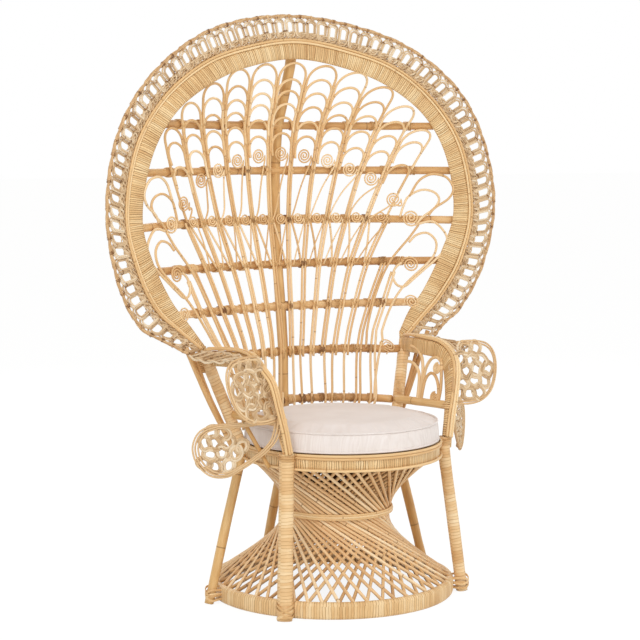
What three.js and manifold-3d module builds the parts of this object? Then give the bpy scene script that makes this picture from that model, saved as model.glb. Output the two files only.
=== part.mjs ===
// Peacock chair of rattan cane with a loose seat cushion.
// Millimetres, +Z up, the sitter faces -Y, +X is to the right of someone looking at the front.
// The chair stands on a wrapped base ring and five legs. A twisted hourglass of canes and the legs
// carry the seat hoop. A wide wrapped hoop with an openwork border frames the fan of the back.
import * as THREE from 'three';
import { mergeVertices } from 'three/addons/utils/BufferGeometryUtils.js';
import Module from 'manifold-3d';

const wasm = await Module();
wasm.setup();

// Clearances
const fit = 0.3;
const nailGap = 1.2;

// Overall sizes, which the shares below follow
const totalHeight = 1500;
const hoopHalfWidth = 608;
const hoopDepth = 200;

// Base ring, standing on the floor
const baseRadius = 318;
const baseY = 13;
const baseHeight = 43;
const baseWall = 22;

// Seat hoop, with a bead cane round its top and bottom edge
const seatRadius = 253;
const seatY = -32;
const seatTop = 405;
const seatHeight = 43;
const seatWall = 17;
const seatBead = 7;

// Hourglass of woven canes
const waistRadius = 137;
const waistY = -8;
const waistZ = 223;
const waistRingHeight = 15;
const caneThick = 8;
const pairWidth = 20;
const canePairs = 18;
const twist = THREE.MathUtils.degToRad(52);
const layerStep = 13;

// Legs and posts
const frontLegRadius = 18;
const sideLegRadius = 14;
const backLegRadius = 13;
const frontLegAngle = THREE.MathUtils.degToRad(-25.4);
const frontFootAngle = THREE.MathUtils.degToRad(-35.9);
const sideLegAngle = THREE.MathUtils.degToRad(22.3);
const sideFootAngle = THREE.MathUtils.degToRad(8.1);
const legStraight = 55;
const frontFootGap = 5;
const sideFootGap = 15.5;
const backFootGap = 6;
const legBowShare = 0.08;
const rearPostRadius = 15;
const spineRadius = 15;
const bindingWall = 6;
const bindingHeight = 38;
const bindingLift = 3;

// Back: rails, spine, canes and wide band
const railRadius = 10.5;
const spineSetback = 6;
const fanCane = 7;
const bandThick = 12;
const beadThick = 15;
const beadShare = 0.16;
const latticeThick = 8;
const latticeCells = 50;
const railTuck = 16;
const seatRailZ = 476;
const sideRailRadius = 13;

// Arms
const armThick = 17;
const postThick = 27;
const armBeadWidth = 9;
const braceRadius = 6.5;
const earThick = 8;
const panelCane = 4.5;

// Seat
const seatPanelThick = 9;
const seatBarRadius = 9;
const cushionInset = 7;
const cushionSide = 50;
const cushionCrown = 13;

// Number of flat sides and steps of the faceted rounds
const roundSides = 8;
const railSides = 6;
const ringSides = 32;
const hoopSteps = 38;

const rattan = new THREE.MeshStandardMaterial({ color: 0xd9b47c, roughness: 0.55, metalness: 0 });
const wrapped = new THREE.MeshStandardMaterial({ color: 0xdcb57a, roughness: 0.5, metalness: 0 });
const peeled = new THREE.MeshStandardMaterial({ color: 0xd8c098, roughness: 0.6, metalness: 0 });
const darkCane = new THREE.MeshStandardMaterial({ color: 0xb98f55, roughness: 0.55, metalness: 0 });
const linen = new THREE.MeshStandardMaterial({ color: 0xeee6e0, roughness: 0.9, metalness: 0 });

const v3 = (x, y, z) => new THREE.Vector3(x, y, z);
const v2 = (x, y) => new THREE.Vector2(x, y);
const mirrored = (p) => v3(-p.x, p.y, p.z);
const lerp = THREE.MathUtils.lerp;

// Turns every face outwards
function faceOutwards(geometry) {
  const flat = geometry.index ? geometry.toNonIndexed() : geometry;
  const p = flat.attributes.position;
  const [a, b, c] = [v3(), v3(), v3()];
  let volume = 0;
  for (let i = 0; i < p.count; i += 3) {
    a.fromBufferAttribute(p, i);
    b.fromBufferAttribute(p, i + 1);
    c.fromBufferAttribute(p, i + 2);
    volume += a.dot(b.cross(c));
  }
  if (volume < 0) {
    for (let i = 0; i < p.count; i += 3) {
      b.fromBufferAttribute(p, i + 1);
      c.fromBufferAttribute(p, i + 2);
      p.setXYZ(i + 1, c.x, c.y, c.z);
      p.setXYZ(i + 2, b.x, b.y, b.z);
    }
  }
  flat.deleteAttribute('normal');
  flat.deleteAttribute('uv');
  flat.computeVertexNormals();
  return flat;
}

const bothSides = (geometry) => {
  const other = geometry.clone();
  other.scale(-1, 1, 1);
  return [geometry, faceOutwards(other)];
};

function solidOf(geometry) {
  const bare = geometry.clone();
  bare.deleteAttribute('normal');
  bare.deleteAttribute('uv');
  const merged = mergeVertices(bare);
  return new wasm.Manifold(new wasm.Mesh({
    numProp: 3,
    vertProperties: new Float32Array(merged.attributes.position.array),
    triVerts: new Uint32Array(merged.index.array),
  }));
}

function geometryOf(solid) {
  const mesh = solid.getMesh();
  const geometry = new THREE.BufferGeometry();
  geometry.setAttribute('position', new THREE.BufferAttribute(new Float32Array(mesh.vertProperties), 3));
  geometry.setIndex(new THREE.BufferAttribute(new Uint32Array(mesh.triVerts), 1));
  return geometry;
}

// Joins closed geometries into one body
function joined(geometries) {
  const solids = geometries.map(solidOf);
  return geometryOf(solids.reduce((all, one) => all.add(one)));
}

// Cuts neighbours out of a piece and keeps its largest body
function cutBy(geometry, neighbours) {
  const cut = neighbours.map(solidOf).reduce((left, tool) => left.subtract(tool), solidOf(geometry));
  const bodies = cut.decompose();
  bodies.sort((one, two) => two.volume() - one.volume());
  return geometryOf(bodies[0]);
}

// A closed body through rings of points, with flat ends
function loft(rings) {
  const count = rings[0].length;
  const index = [];
  for (let i = 0; i + 1 < rings.length; i += 1) {
    for (let j = 0; j < count; j += 1) {
      const next = (j + 1) % count;
      const [a, b] = [i * count + j, i * count + next];
      index.push(a, b, b + count, a, b + count, a + count);
    }
  }
  const last = (rings.length - 1) * count;
  for (let j = 1; j + 1 < count; j += 1) {
    index.push(0, j + 1, j);
    index.push(last, last + j, last + j + 1);
  }
  const geometry = new THREE.BufferGeometry();
  const flat = rings.flat().flatMap((p) => [p.x, p.y, p.z]);
  geometry.setAttribute('position', new THREE.Float32BufferAttribute(flat, 3));
  geometry.setIndex(index);
  return faceOutwards(geometry);
}

function circle(centre, radius, sides = roundSides) {
  return Array.from({ length: sides }, (_, i) => {
    const angle = (2 * Math.PI * i) / sides;
    return v3(centre.x + radius * Math.cos(angle), centre.y + radius * Math.sin(angle), centre.z);
  });
}

// An upright pole through points, its ends cut level
function pole(points, radius, sides = roundSides) {
  return loft(points.map((p) => circle(p, radius, sides)));
}

// A round cane along a curve
function tube(curve, radius, steps, sides = roundSides) {
  const outline = new THREE.Shape(circle(v3(0, 0, 0), radius, sides).map((p) => v2(p.x, p.y)));
  return faceOutwards(new THREE.ExtrudeGeometry(outline, {
    steps, extrudePath: curve, bevelEnabled: false,
  }));
}

const through = (points) => new THREE.CatmullRomCurve3(points, false, 'centripetal');

// A ring turned round the upright through (0, centreY)
function ring(profile, centreY, sides = ringSides) {
  const closed = [...profile, profile[0]].map(([r, z]) => v2(r, z));
  const geometry = new THREE.LatheGeometry(closed, sides);
  geometry.rotateX(Math.PI / 2);
  geometry.translate(0, centreY, 0);
  return faceOutwards(geometry);
}

// A flat strip between two edge lines, with its long edges eased
const stripShares = [[0, 0], [0.1, -0.5], [0.9, -0.5], [1, 0], [0.9, 0.5], [0.1, 0.5]];
const slopeStep = 0.001;

function stripFrame(edgeA, edgeB, t) {
  const [a, b] = [edgeA(t), edgeB(t)];
  const before = edgeA(Math.max(t - slopeStep, 0)).add(edgeB(Math.max(t - slopeStep, 0)));
  const after = edgeA(Math.min(t + slopeStep, 1)).add(edgeB(Math.min(t + slopeStep, 1)));
  const normal = b.clone().sub(a).cross(after.sub(before)).normalize();
  return { a, b, normal };
}

function strip(edgeA, edgeB, thickAt, steps) {
  const rings = [];
  for (let i = 0; i <= steps; i += 1) {
    const t = i / steps;
    const { a, b, normal } = stripFrame(edgeA, edgeB, t);
    rings.push(stripShares.map(([across, deep]) => (
      a.clone().lerp(b, across).addScaledVector(normal, deep * thickAt(t))
    )));
  }
  return loft(rings);
}

// A flat plate with holes, bent onto a place in space
function bentPlate(outline, holes, thickness, place) {
  const around = THREE.ShapeUtils.isClockWise(outline) ? [...outline].reverse() : outline;
  const shape = new THREE.Shape(around);
  shape.holes = holes.map((hole) => new THREE.Path(hole));
  const geometry = new THREE.ExtrudeGeometry(shape, { depth: thickness, bevelEnabled: false });
  const p = geometry.attributes.position;
  for (let i = 0; i < p.count; i += 1) {
    const q = place(p.getX(i), p.getY(i), p.getZ(i) - thickness / 2);
    p.setXYZ(i, q.x, q.y, q.z);
  }
  return faceOutwards(geometry);
}

const chair = new THREE.Group();

function add(name, geometry, material) {
  const mesh = new THREE.Mesh(geometry, material);
  mesh.name = name;
  chair.add(mesh);
  return mesh;
}

// Adds a piece on the right and its mirror image on the left
function addPair(name, geometry, material) {
  add(`${name}_right`, geometry, material);
  const other = geometry.clone();
  other.scale(-1, 1, 1);
  add(`${name}_left`, faceOutwards(other), material);
}

// Base ring: a hoop of poles wrapped in peel, flat on the floor
const baseEdge = 4;

function baseRing(grow = 0) {
  const outer = baseRadius + grow;
  const inner = baseRadius - baseWall - grow;
  const top = baseHeight + grow;
  return ring([
    [inner, 0], [outer - baseEdge, 0], [outer, baseEdge],
    [outer, top - baseEdge], [outer - baseEdge, top], [inner, top],
  ], baseY);
}

add('base_ring', baseRing(), wrapped);

// Seat hoop: wrapped, with a bead cane round both edges
const seatBottom = seatTop - seatHeight;
const seatOutside = seatRadius + seatBead;
const seatInside = seatRadius - seatWall;
const beadDrop = 8;
const beadEase = 2;

function seatHoop() {
  return ring([
    [seatInside, seatBottom], [seatOutside, seatBottom], [seatOutside, seatBottom + beadDrop],
    [seatRadius, seatBottom + beadDrop + beadEase], [seatRadius, seatTop - beadDrop - beadEase],
    [seatOutside, seatTop - beadDrop], [seatOutside, seatTop], [seatInside, seatTop],
  ], seatY);
}


// Seat panel of woven cane, inside the hoop and on a cross bar
const seatPanelTop = seatTop - 4 * fit;
const seatPanelZ = seatPanelTop - seatPanelThick / 2;
const facetLoss = 1 - Math.cos(Math.PI / ringSides);
const seatPanelRadius = seatInside * (1 - facetLoss) - fit;
const seatPanel = new THREE.CylinderGeometry(seatPanelRadius, seatPanelRadius, seatPanelThick, ringSides);
seatPanel.rotateX(Math.PI / 2);
seatPanel.translate(0, seatY, seatPanelZ);
add('seat_panel', faceOutwards(seatPanel), peeled);

const seatBarZ = seatPanelTop - seatPanelThick - fit - seatBarRadius;
const seatBarHalf = seatInside * (1 - facetLoss) - 2 * fit;
const seatBarLine = new THREE.LineCurve3(v3(-seatBarHalf, seatY, seatBarZ), v3(seatBarHalf, seatY, seatBarZ));
add('seat_bar', tube(seatBarLine, seatBarRadius, 1), darkCane);

// Hourglass: pairs of canes twist from the seat hoop through the waist to the base ring.
// The outer layer turns one way and the inner layer the other.
const weaveTop = { radius: seatRadius - caneThick, y: seatY, z: seatBottom - fit };
const weaveWaist = { radius: waistRadius, y: waistY, z: waistZ };
const weaveFoot = { radius: baseRadius - baseWall / 2, y: baseY, z: baseHeight + fit };
const levelShares = [[weaveTop, weaveWaist, 0], [weaveTop, weaveWaist, 0.5], [weaveWaist, weaveFoot, 0],
  [weaveWaist, weaveFoot, 0.5], [weaveWaist, weaveFoot, 1]];

function weavePoint(level, angle, inset) {
  const radius = level.radius - inset;
  return v3(radius * Math.cos(angle), level.y + radius * Math.sin(angle), level.z);
}

function canePair(start, turn, inset) {
  const ends = new Map([[weaveTop, start], [weaveWaist, start + turn], [weaveFoot, start + 2 * turn]]);
  const rings = levelShares.map(([from, to, share]) => {
    const middle = weavePoint(from, ends.get(from), inset).lerp(weavePoint(to, ends.get(to), inset), share);
    const centreY = lerp(from.y, to.y, share);
    const outward = v3(middle.x, middle.y - centreY, 0).normalize();
    const along = v3(-outward.y, outward.x, 0);
    return [[-1, -1], [1, -1], [1, 1], [-1, 1]].map(([side, depth]) => (
      middle.clone().addScaledVector(along, (side * pairWidth) / 2)
        .addScaledVector(outward, (depth * caneThick) / 2)
    ));
  });
  return loft(rings);
}

function weaveLayer(turn, inset, binding) {
  const pairs = Array.from({ length: canePairs }, (_, i) => (
    canePair((2 * Math.PI * i) / canePairs, turn, inset)
  ));
  return joined([...pairs, binding]);
}

function waistBinding(inner, outer, height) {
  return ring([
    [inner, waistZ - height / 2], [outer, waistZ - height / 2],
    [outer, waistZ + height / 2], [inner, waistZ + height / 2],
  ], waistY, canePairs);
}

const waistOutside = waistRadius + caneThick;
add('outer_weave', weaveLayer(twist, 0, waistBinding(waistRadius, waistOutside, waistRingHeight)), rattan);
const innerWaist = waistRadius - layerStep;
add('inner_weave', weaveLayer(-twist, layerStep, waistBinding(
  innerWaist - caneThick, innerWaist, caneThick,
)), darkCane);

// Legs: peel-wrapped poles from the floor, bound against the seat hoop
function legTop(radius, angle) {
  const reach = seatRadius + radius + fit;
  return v2(reach * Math.cos(angle), seatY + reach * Math.sin(angle));
}

function legFoot(gap, angle) {
  return v2((baseRadius + gap) * Math.cos(angle), baseY + (baseRadius + gap) * Math.sin(angle));
}

function leg(foot, top, radius, grow = 0) {
  const middle = foot.clone().lerp(top, 0.5 + legBowShare);
  return pole([
    v3(foot.x, foot.y, 0), v3(foot.x, foot.y, baseHeight), v3(middle.x, middle.y, seatBottom / 2),
    v3(top.x, top.y, seatBottom - legStraight / 4), v3(top.x, top.y, seatTop - fit),
  ], radius + grow);
}

const frontTop = legTop(frontLegRadius, frontLegAngle);
const frontFoot = legFoot(frontLegRadius + frontFootGap, frontFootAngle);
const sideFoot = legFoot(sideLegRadius + sideFootGap, sideFootAngle);
const sideTop = legTop(sideLegRadius, sideLegAngle);
const backTop = legTop(backLegRadius, Math.PI / 2);
const backFoot = legFoot(backLegRadius + backFootGap, Math.PI / 2);
const legTools = [[frontFoot, frontTop, frontLegRadius], [sideFoot, sideTop, sideLegRadius]]
  .flatMap(([foot, top, radius]) => bothSides(leg(foot, top, radius, fit)));
add('seat_hoop', cutBy(seatHoop(), [...legTools, leg(backFoot, backTop, backLegRadius, fit)]), wrapped);
addPair('front_leg', leg(frontFoot, frontTop, frontLegRadius), wrapped);
addPair('side_leg', leg(sideFoot, sideTop, sideLegRadius), wrapped);
add('back_leg', leg(backFoot, backTop, backLegRadius), wrapped);

// Foot bindings: peel lashed round each foot and the base ring
function footBinding(foot, top, radius) {
  const inward = v2(0, baseY).sub(foot).normalize();
  const gap = foot.distanceTo(v2(0, baseY)) - baseRadius;
  const reach = Math.max(gap, radius) + baseWall / 2;
  const half = radius + bindingWall;
  const across = v2(-inward.y, inward.x);
  const outline = [];
  for (let i = 0; i <= roundSides; i += 1) {
    const angle = (Math.PI * i) / roundSides;
    outline.push(foot.clone().addScaledVector(across, half * Math.cos(angle))
      .addScaledVector(inward, -half * Math.sin(angle)));
  }
  outline.push(foot.clone().addScaledVector(across, -half).addScaledVector(inward, reach));
  outline.push(foot.clone().addScaledVector(across, half).addScaledVector(inward, reach));
  const levels = [bindingLift, bindingLift + bindingHeight];
  const block = loft(levels.map((z) => outline.map((p) => v3(p.x, p.y, z))));
  return cutBy(block, [leg(foot, top, radius, fit), baseRing(fit)]);
}

addPair('front_foot_binding', footBinding(frontFoot, frontTop, frontLegRadius), peeled);
addPair('side_foot_binding', footBinding(sideFoot, sideTop, sideLegRadius), peeled);
add('back_foot_binding', footBinding(backFoot, backTop, backLegRadius), peeled);

// Hoop lines from the top centre down the right side, as shares of half width, depth and height:
// inner edge of the wrapped band, bead line, and outer rim of the openwork border
const innerShares = [[0, 0.875, 0.9227], [0.243, 0.805, 0.908], [0.447, 0.72, 0.8787],
  [0.638, 0.665, 0.8267], [0.758, 0.64, 0.752], [0.804, 0.645, 0.6527], [0.748, 0.695, 0.5787],
  [0.658, 0.72, 0.512], [0.572, 0.74, 0.4713], [0.493, 0.765, 0.434]];
const beadLineShares = [[0, 0.9, 0.9553], [0.271, 0.825, 0.9387], [0.502, 0.74, 0.908],
  [0.707, 0.685, 0.8467], [0.84, 0.625, 0.7653], [0.89, 0.595, 0.6533], [0.831, 0.61, 0.5633],
  [0.737, 0.675, 0.5007], [0.633, 0.67, 0.4613], [0.53, 0.64, 0.4267]];
const rimShares = [[0, 0.945, 1], [0.309, 0.865, 0.9853], [0.567, 0.675, 0.948],
  [0.801, 0.55, 0.8773], [0.944, 0.51, 0.7853], [1, 0.465, 0.6667], [0.949, 0.51, 0.5533],
  [0.842, 0.575, 0.4753], [0.724, 0.515, 0.4453], [0.645, 0.4, 0.4267]];

function hoopLine(shares) {
  const right = shares.map(([x, y, z]) => v3(x * hoopHalfWidth, y * hoopDepth, z * totalHeight));
  const left = right.slice(1).reverse().map(mirrored);
  return new THREE.CatmullRomCurve3([...left, ...right], false, 'catmullrom', 0.5);
}

const innerLine = hoopLine(innerShares);
const beadLine = hoopLine(beadLineShares);
const rimLine = hoopLine(rimShares);

// Point on the border between the bead line (0) and the rim (1)
const borderPoint = (t, share) => beadLine.getPoint(t).lerp(rimLine.getPoint(t), share);
const bandEdgeShare = 0.992;
const beadGapShare = 0.006;
const borderGapShare = 0.02;
const bandOuter = (t) => innerLine.getPoint(t).lerp(beadLine.getPoint(t), bandEdgeShare);
const bandInner = (t) => innerLine.getPoint(t);

// Arm and front post: one wrapped band that runs forward from the hoop and turns down to the
// front leg. Outer edge line and inner edge line, right side: shares of the way out from the leg
// to the end of the hoop, of the hoop depth, and of the way up from the seat to the arm.
const armTop = 0.4273 * totalHeight;
const armRear = 0.52 * hoopHalfWidth;
const armShares = [[1, 0.56, 1], [0.7, 0.3, 1.022], [0.555, -0.05, 1.027], [0.58, -0.4, 1],
  [0.607, -0.6, 0.913], [0.547, -0.71, 0.742], [0.436, -0.78, 0.484], [0.3, -0.81, 0.239],
  [0.05, -0.815, 0.003]];
const armInnerShares = [[0.914, 0.56, 0.826], [0.675, 0.3, 0.832], [0.547, -0.05, 0.832],
  [0.547, -0.35, 0.815], [0.547, -0.465, 0.728], [0.504, -0.53, 0.62], [0.419, -0.59, 0.43],
  [0.3, -0.625, 0.212], [0.05, -0.635, 0.003]];
const armSteps = 20;

function armLine(shares) {
  return through(shares.map(([x, y, z]) => (
    v3(lerp(frontTop.x, armRear, x), y * hoopDepth, lerp(seatTop, armTop, z))
  )));
}

const armOuterLine = armLine(armShares);
const armInnerLine = armLine(armInnerShares);

function armBand(grow = 0) {
  const edge = (from, to, out) => (t) => {
    const outward = to.getPoint(t).sub(from.getPoint(t)).normalize();
    return to.getPoint(t).addScaledVector(outward, out);
  };
  return strip(
    edge(armOuterLine, armInnerLine, grow),
    edge(armInnerLine, armOuterLine, armBeadWidth + grow),
    (t) => lerp(armThick, postThick, t) + 2 * grow,
    armSteps,
  );
}

const legClear = seatTop + fit;
const blockBelow = (height) => new THREE.BoxGeometry(2 * hoopHalfWidth, 2 * hoopHalfWidth, 2 * height);
addPair('arm_band', cutBy(armBand(), [blockBelow(legClear)]), wrapped);

// Rear post: carries the lower end of the hoop and the arm, standing on the side leg
const rearPostTop = v3(0.523 * hoopHalfWidth, 0.62 * hoopDepth, 0.43 * totalHeight);

function rearPost(grow = 0) {
  return pole([v3(sideTop.x, sideTop.y, legClear - grow), rearPostTop], rearPostRadius + grow);
}

const rearPostRight = cutBy(rearPost(), [armBand(fit)]);
addPair('rear_post', rearPostRight, wrapped);

// Hoop band: wrapped, seated on the rear posts and the arm bands
const armTools = [...bothSides(armBand(fit)), ...bothSides(rearPost(fit))];

function hoopBand(grow = 0) {
  const outward = (t) => bandOuter(t).sub(bandInner(t)).normalize();
  return strip(
    (t) => bandInner(t).addScaledVector(outward(t), -grow),
    (t) => bandOuter(t).addScaledVector(outward(t), grow),
    () => bandThick + 2 * grow, hoopSteps,
  );
}

function hoopBead(grow = 0) {
  return strip(
    (t) => borderPoint(t, beadGapShare), (t) => borderPoint(t, beadShare),
    () => beadThick + 2 * grow, hoopSteps,
  );
}

add('hoop_band', cutBy(hoopBand(), armTools), wrapped);
add('hoop_bead', cutBy(hoopBead(), armTools), rattan);

// Openwork border: a chain of cane loops between the bead and the rim
const loopShares = [[0.16, 0.56], [0.5, 0.84], [0.84, 0.56], [0.8, 0.12], [0.2, 0.12]];
const cellShares = [[0, 0], [1, 0], [1, 1], [0, 1]];

function lattice(cells, edgeA, edgeB, thickness) {
  const corners = cellShares.map(([x, y]) => v2(x, y));
  const loop = loopShares.map(([x, y]) => v2(x, y));
  const points = [...corners, ...loop];
  const faces = THREE.ShapeUtils.triangulateShape(corners, [loop]).map(([a, b, c]) => (
    points[b].clone().sub(points[a]).cross(points[c].clone().sub(points[a])) < 0 ? [a, c, b] : [a, b, c]
  ));
  const flat = [];
  const put = (cell, point, side) => {
    const { a, b, normal } = stripFrame(edgeA, edgeB, (cell + point.x) / cells);
    flat.push(...a.lerp(b, point.y).addScaledVector(normal, (side * thickness) / 2).toArray());
  };
  const wall = (cell, p, q) => {
    [[q, 1], [p, 1], [p, -1], [q, 1], [p, -1], [q, -1]].forEach(([point, side]) => put(cell, point, side));
  };
  for (let cell = 0; cell < cells; cell += 1) {
    faces.forEach(([a, b, c]) => {
      [a, b, c].forEach((i) => put(cell, points[i], 1));
      [a, c, b].forEach((i) => put(cell, points[i], -1));
    });
    loop.forEach((p, i) => wall(cell, p, loop[(i + 1) % loop.length]));
    wall(cell, corners[0], corners[1]);
    wall(cell, corners[2], corners[3]);
  }
  wall(0, corners[3], corners[0]);
  wall(cells - 1, corners[1], corners[2]);
  const geometry = new THREE.BufferGeometry();
  geometry.setAttribute('position', new THREE.Float32BufferAttribute(flat, 3));
  return faceOutwards(geometry);
}

const latticeInner = (t) => borderPoint(t, beadShare + borderGapShare);
const latticeOuter = (t) => rimLine.getPoint(t);
const rimLattice = lattice(latticeCells, latticeInner, latticeOuter, latticeThick);
add('rim_lattice', cutBy(rimLattice, armTools), peeled);

// The whole border without its openings, to keep other pieces clear of it
const envelopeShare = 1.12;
const borderEnvelope = strip(
  latticeInner, (t) => borderPoint(t, envelopeShare), () => latticeThick + 4 * fit, latticeCells,
);

// Spine: the centre pole of the back, from the back leg to behind the top of the band.
// Heights as shares of the total height, depths as shares of the hoop depth.
const spineLean = 11;
const spineFootShare = 0.3173;
const spineShares = [[0.4047, 1.225], [0.4853, 1.29], [0.5607, 1.365], [0.6467, 1.425],
  [0.7233, 1.425], [0.808, 1.355], [0.9187, 1.02], [0.9227, 1.015], [0.95, 1.02]];
const spinePoints = [v2(legClear, backTop.y), v2(spineFootShare * totalHeight, backTop.y + spineLean),
  ...spineShares.map(([z, y]) => v2(z * totalHeight, y * hoopDepth))];

function spineY(z) {
  const next = Math.max(spinePoints.findIndex((p) => p.x >= z), 1);
  const [low, high] = [spinePoints[next - 1], spinePoints[next]];
  return lerp(low.y, high.y, (z - low.x) / (high.x - low.x));
}

// Where the band's inner edge lies at a height
function bandEdge(z) {
  let [low, high] = [0.5, 1];
  for (let i = 0; i < 24; i += 1) {
    const middle = (low + high) / 2;
    if (innerLine.getPoint(middle).z > z) low = middle;
    else high = middle;
  }
  return innerLine.getPoint((low + high) / 2);
}

// Layer of the fan canes: rails lie behind it and the spine behind the rails' middle
const caneToRail = fanCane / 2 + railRadius + nailGap;
const caneToSpine = caneToRail + spineSetback;
const edgeSetback = 2.5;
const hoopFoot = innerLine.getPoint(1).z;
const seatRailRadius = spineY(seatRailZ) - spineSetback - seatY;
const seatFanRadius = seatRailRadius - caneToRail;

function upperFanY(x, z) {
  const edge = bandEdge(z);
  const centre = spineY(z) - caneToSpine;
  return centre - (centre - edge.y - edgeSetback) * (x / edge.x) ** 2;
}

function fanY(x, z) {
  if (z >= hoopFoot) return upperFanY(x, z);
  const share = Math.min((hoopFoot - z) / (hoopFoot - seatRailZ), 1);
  const onSeat = seatY + Math.sqrt(Math.max(seatFanRadius ** 2 - x * x, 0));
  return lerp(upperFanY(x, hoopFoot), onSeat, share);
}

// Depth of a round pole of a radius that lies behind the canes, square to their surface
function poleY(x, z, radius) {
  const [dx, dz] = [fanY(x + fanCane, z) - fanY(x - fanCane, z), fanY(x, z + fanCane) - fanY(x, z - fanCane)];
  const slant = Math.hypot(1, dx / (2 * fanCane), dz / (2 * fanCane));
  return fanY(x, z) + fanCane / 2 + nailGap + radius * slant;
}

// Rails: bent poles nailed behind the canes, their ends tucked behind the band
const railShares = [0.808, 0.7267, 0.6353, 0.5607, 0.4853];
const railSteps = 18;

function railGeometry(z, grow = 0) {
  const edge = bandEdge(z);
  const slope = (beadLineShares[5][1] - innerShares[5][1]) * hoopDepth
    / ((beadLineShares[5][0] - innerShares[5][0]) * hoopHalfWidth);
  const behind = edge.y + bandThick / 2 + railRadius + 2 * nailGap;
  const setback = Math.max(behind - poleY(edge.x, z, railRadius), 0);
  const half = [];
  const stations = railSteps / 2;
  for (let i = 0; i <= stations; i += 1) {
    const x = (edge.x * i) / stations;
    half.push(v3(x, poleY(x, z, railRadius) + setback * (i / stations) ** 4, z));
  }
  half.push(v3(edge.x + railTuck, half[stations].y + slope * railTuck, z));
  const points = [...half.slice(1).reverse().map(mirrored), ...half];
  return tube(new THREE.CatmullRomCurve3(points), railRadius + grow, railSteps + 2, railSides);
}

const railTools = [];
railShares.forEach((share, i) => {
  const z = share * totalHeight;
  add(`back_rail_${i + 1}`, railGeometry(z), darkCane);
  railTools.push(railGeometry(z, fit));
});

// Lowest back rail, between the rear posts
const postTools = bothSides(rearPost(fit));
const lowRailZ = 0.4047 * totalHeight;

function lowRail(grow = 0) {
  const reach = lerp(sideTop.x, rearPostTop.x, (lowRailZ - legClear) / (rearPostTop.z - legClear));
  const points = [];
  for (let i = 0; i <= railSteps; i += 1) {
    const x = lerp(-reach, reach, i / railSteps);
    points.push(v3(x, poleY(x, lowRailZ, railRadius), lowRailZ));
  }
  return tube(new THREE.CatmullRomCurve3(points), railRadius + grow, railSteps, railSides);
}

add('back_rail_6', cutBy(lowRail(), armTools), darkCane);
railTools.push(lowRail(fit));

// Seat rail round the back, level with the top of the cushion
function seatRail(grow = 0) {
  const reach = Math.acos(rearPostRadius / seatRailRadius) - sideLegAngle;
  const points = [];
  for (let i = 0; i <= railSteps; i += 1) {
    const angle = Math.PI / 2 + lerp(-reach, reach, i / railSteps);
    points.push(v3(seatRailRadius * Math.cos(angle), seatY + seatRailRadius * Math.sin(angle), seatRailZ));
  }
  return tube(new THREE.CatmullRomCurve3(points), railRadius + grow, railSteps, railSides);
}

add('seat_rail', cutBy(seatRail(), postTools), darkCane);
railTools.push(seatRail(fit));

const spine = pole(spinePoints.map((p) => v3(0, p.y, p.x)), spineRadius);
add('spine', cutBy(spine, [...railTools, hoopBand(fit)]), wrapped);

// Side rails: from the rear posts to the front posts, a little higher at the front
const sideRailRise = 8;
const sideRailLine = new THREE.LineCurve3(
  v3(sideTop.x + sideRailRadius, sideTop.y + sideRailRadius, seatRailZ),
  v3(frontTop.x + frontLegRadius, frontTop.y, seatRailZ + sideRailRise),
);

function sideRail(grow = 0) {
  return tube(sideRailLine, sideRailRadius + grow, 1);
}

addPair('side_rail', cutBy(sideRail(), [armBand(fit), rearPost(fit)]), wrapped);

// Arched columns of the fan: nested arches on two stems, closed below by the scroll row.
// The columns spread from a point below the seat. Heights are shares of the total height, and
// column edges count in columns from the middle; the outermost column is wider.
const fanFocus = 0.1853 * totalHeight;
const fanSpreadShare = 0.2097;
const archRiseShare = 0.42;
const archSteps = 5;
const columnGap = 0.7;
const rowHeight = 10;
const lastEdge = 7.2;
const archTopShares = [
  [0.9165, 0.8873, 0.8687, 0.8453, 0.822, 0.7933], [0.9125, 0.8867, 0.8633, 0.8413, 0.816, 0.788],
  [0.902, 0.8747, 0.8507, 0.828, 0.8027, 0.7787], [0.877, 0.8507, 0.8247, 0.7973, 0.7693],
  [0.8435, 0.8153, 0.79, 0.7627], [0.801, 0.7773, 0.7353], [0.7227, 0.6913],
];
const scrollShares = [0.7587, 0.7547, 0.746, 0.73, 0.7133, 0.6853];
const scrollRadius = 20;
const scrollOpenShare = 0.42;
const columnsEachSide = archTopShares.length - 1;
const fanBottom = railShares[2] * totalHeight;
const stemWaist = 0.6;
const waist = (z, from, to) => stemWaist * Math.sin((Math.PI * (z - from)) / (to - from));
const fanPitch = (z) => (fanSpreadShare * hoopHalfWidth * (z - fanFocus)) / totalHeight;

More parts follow.
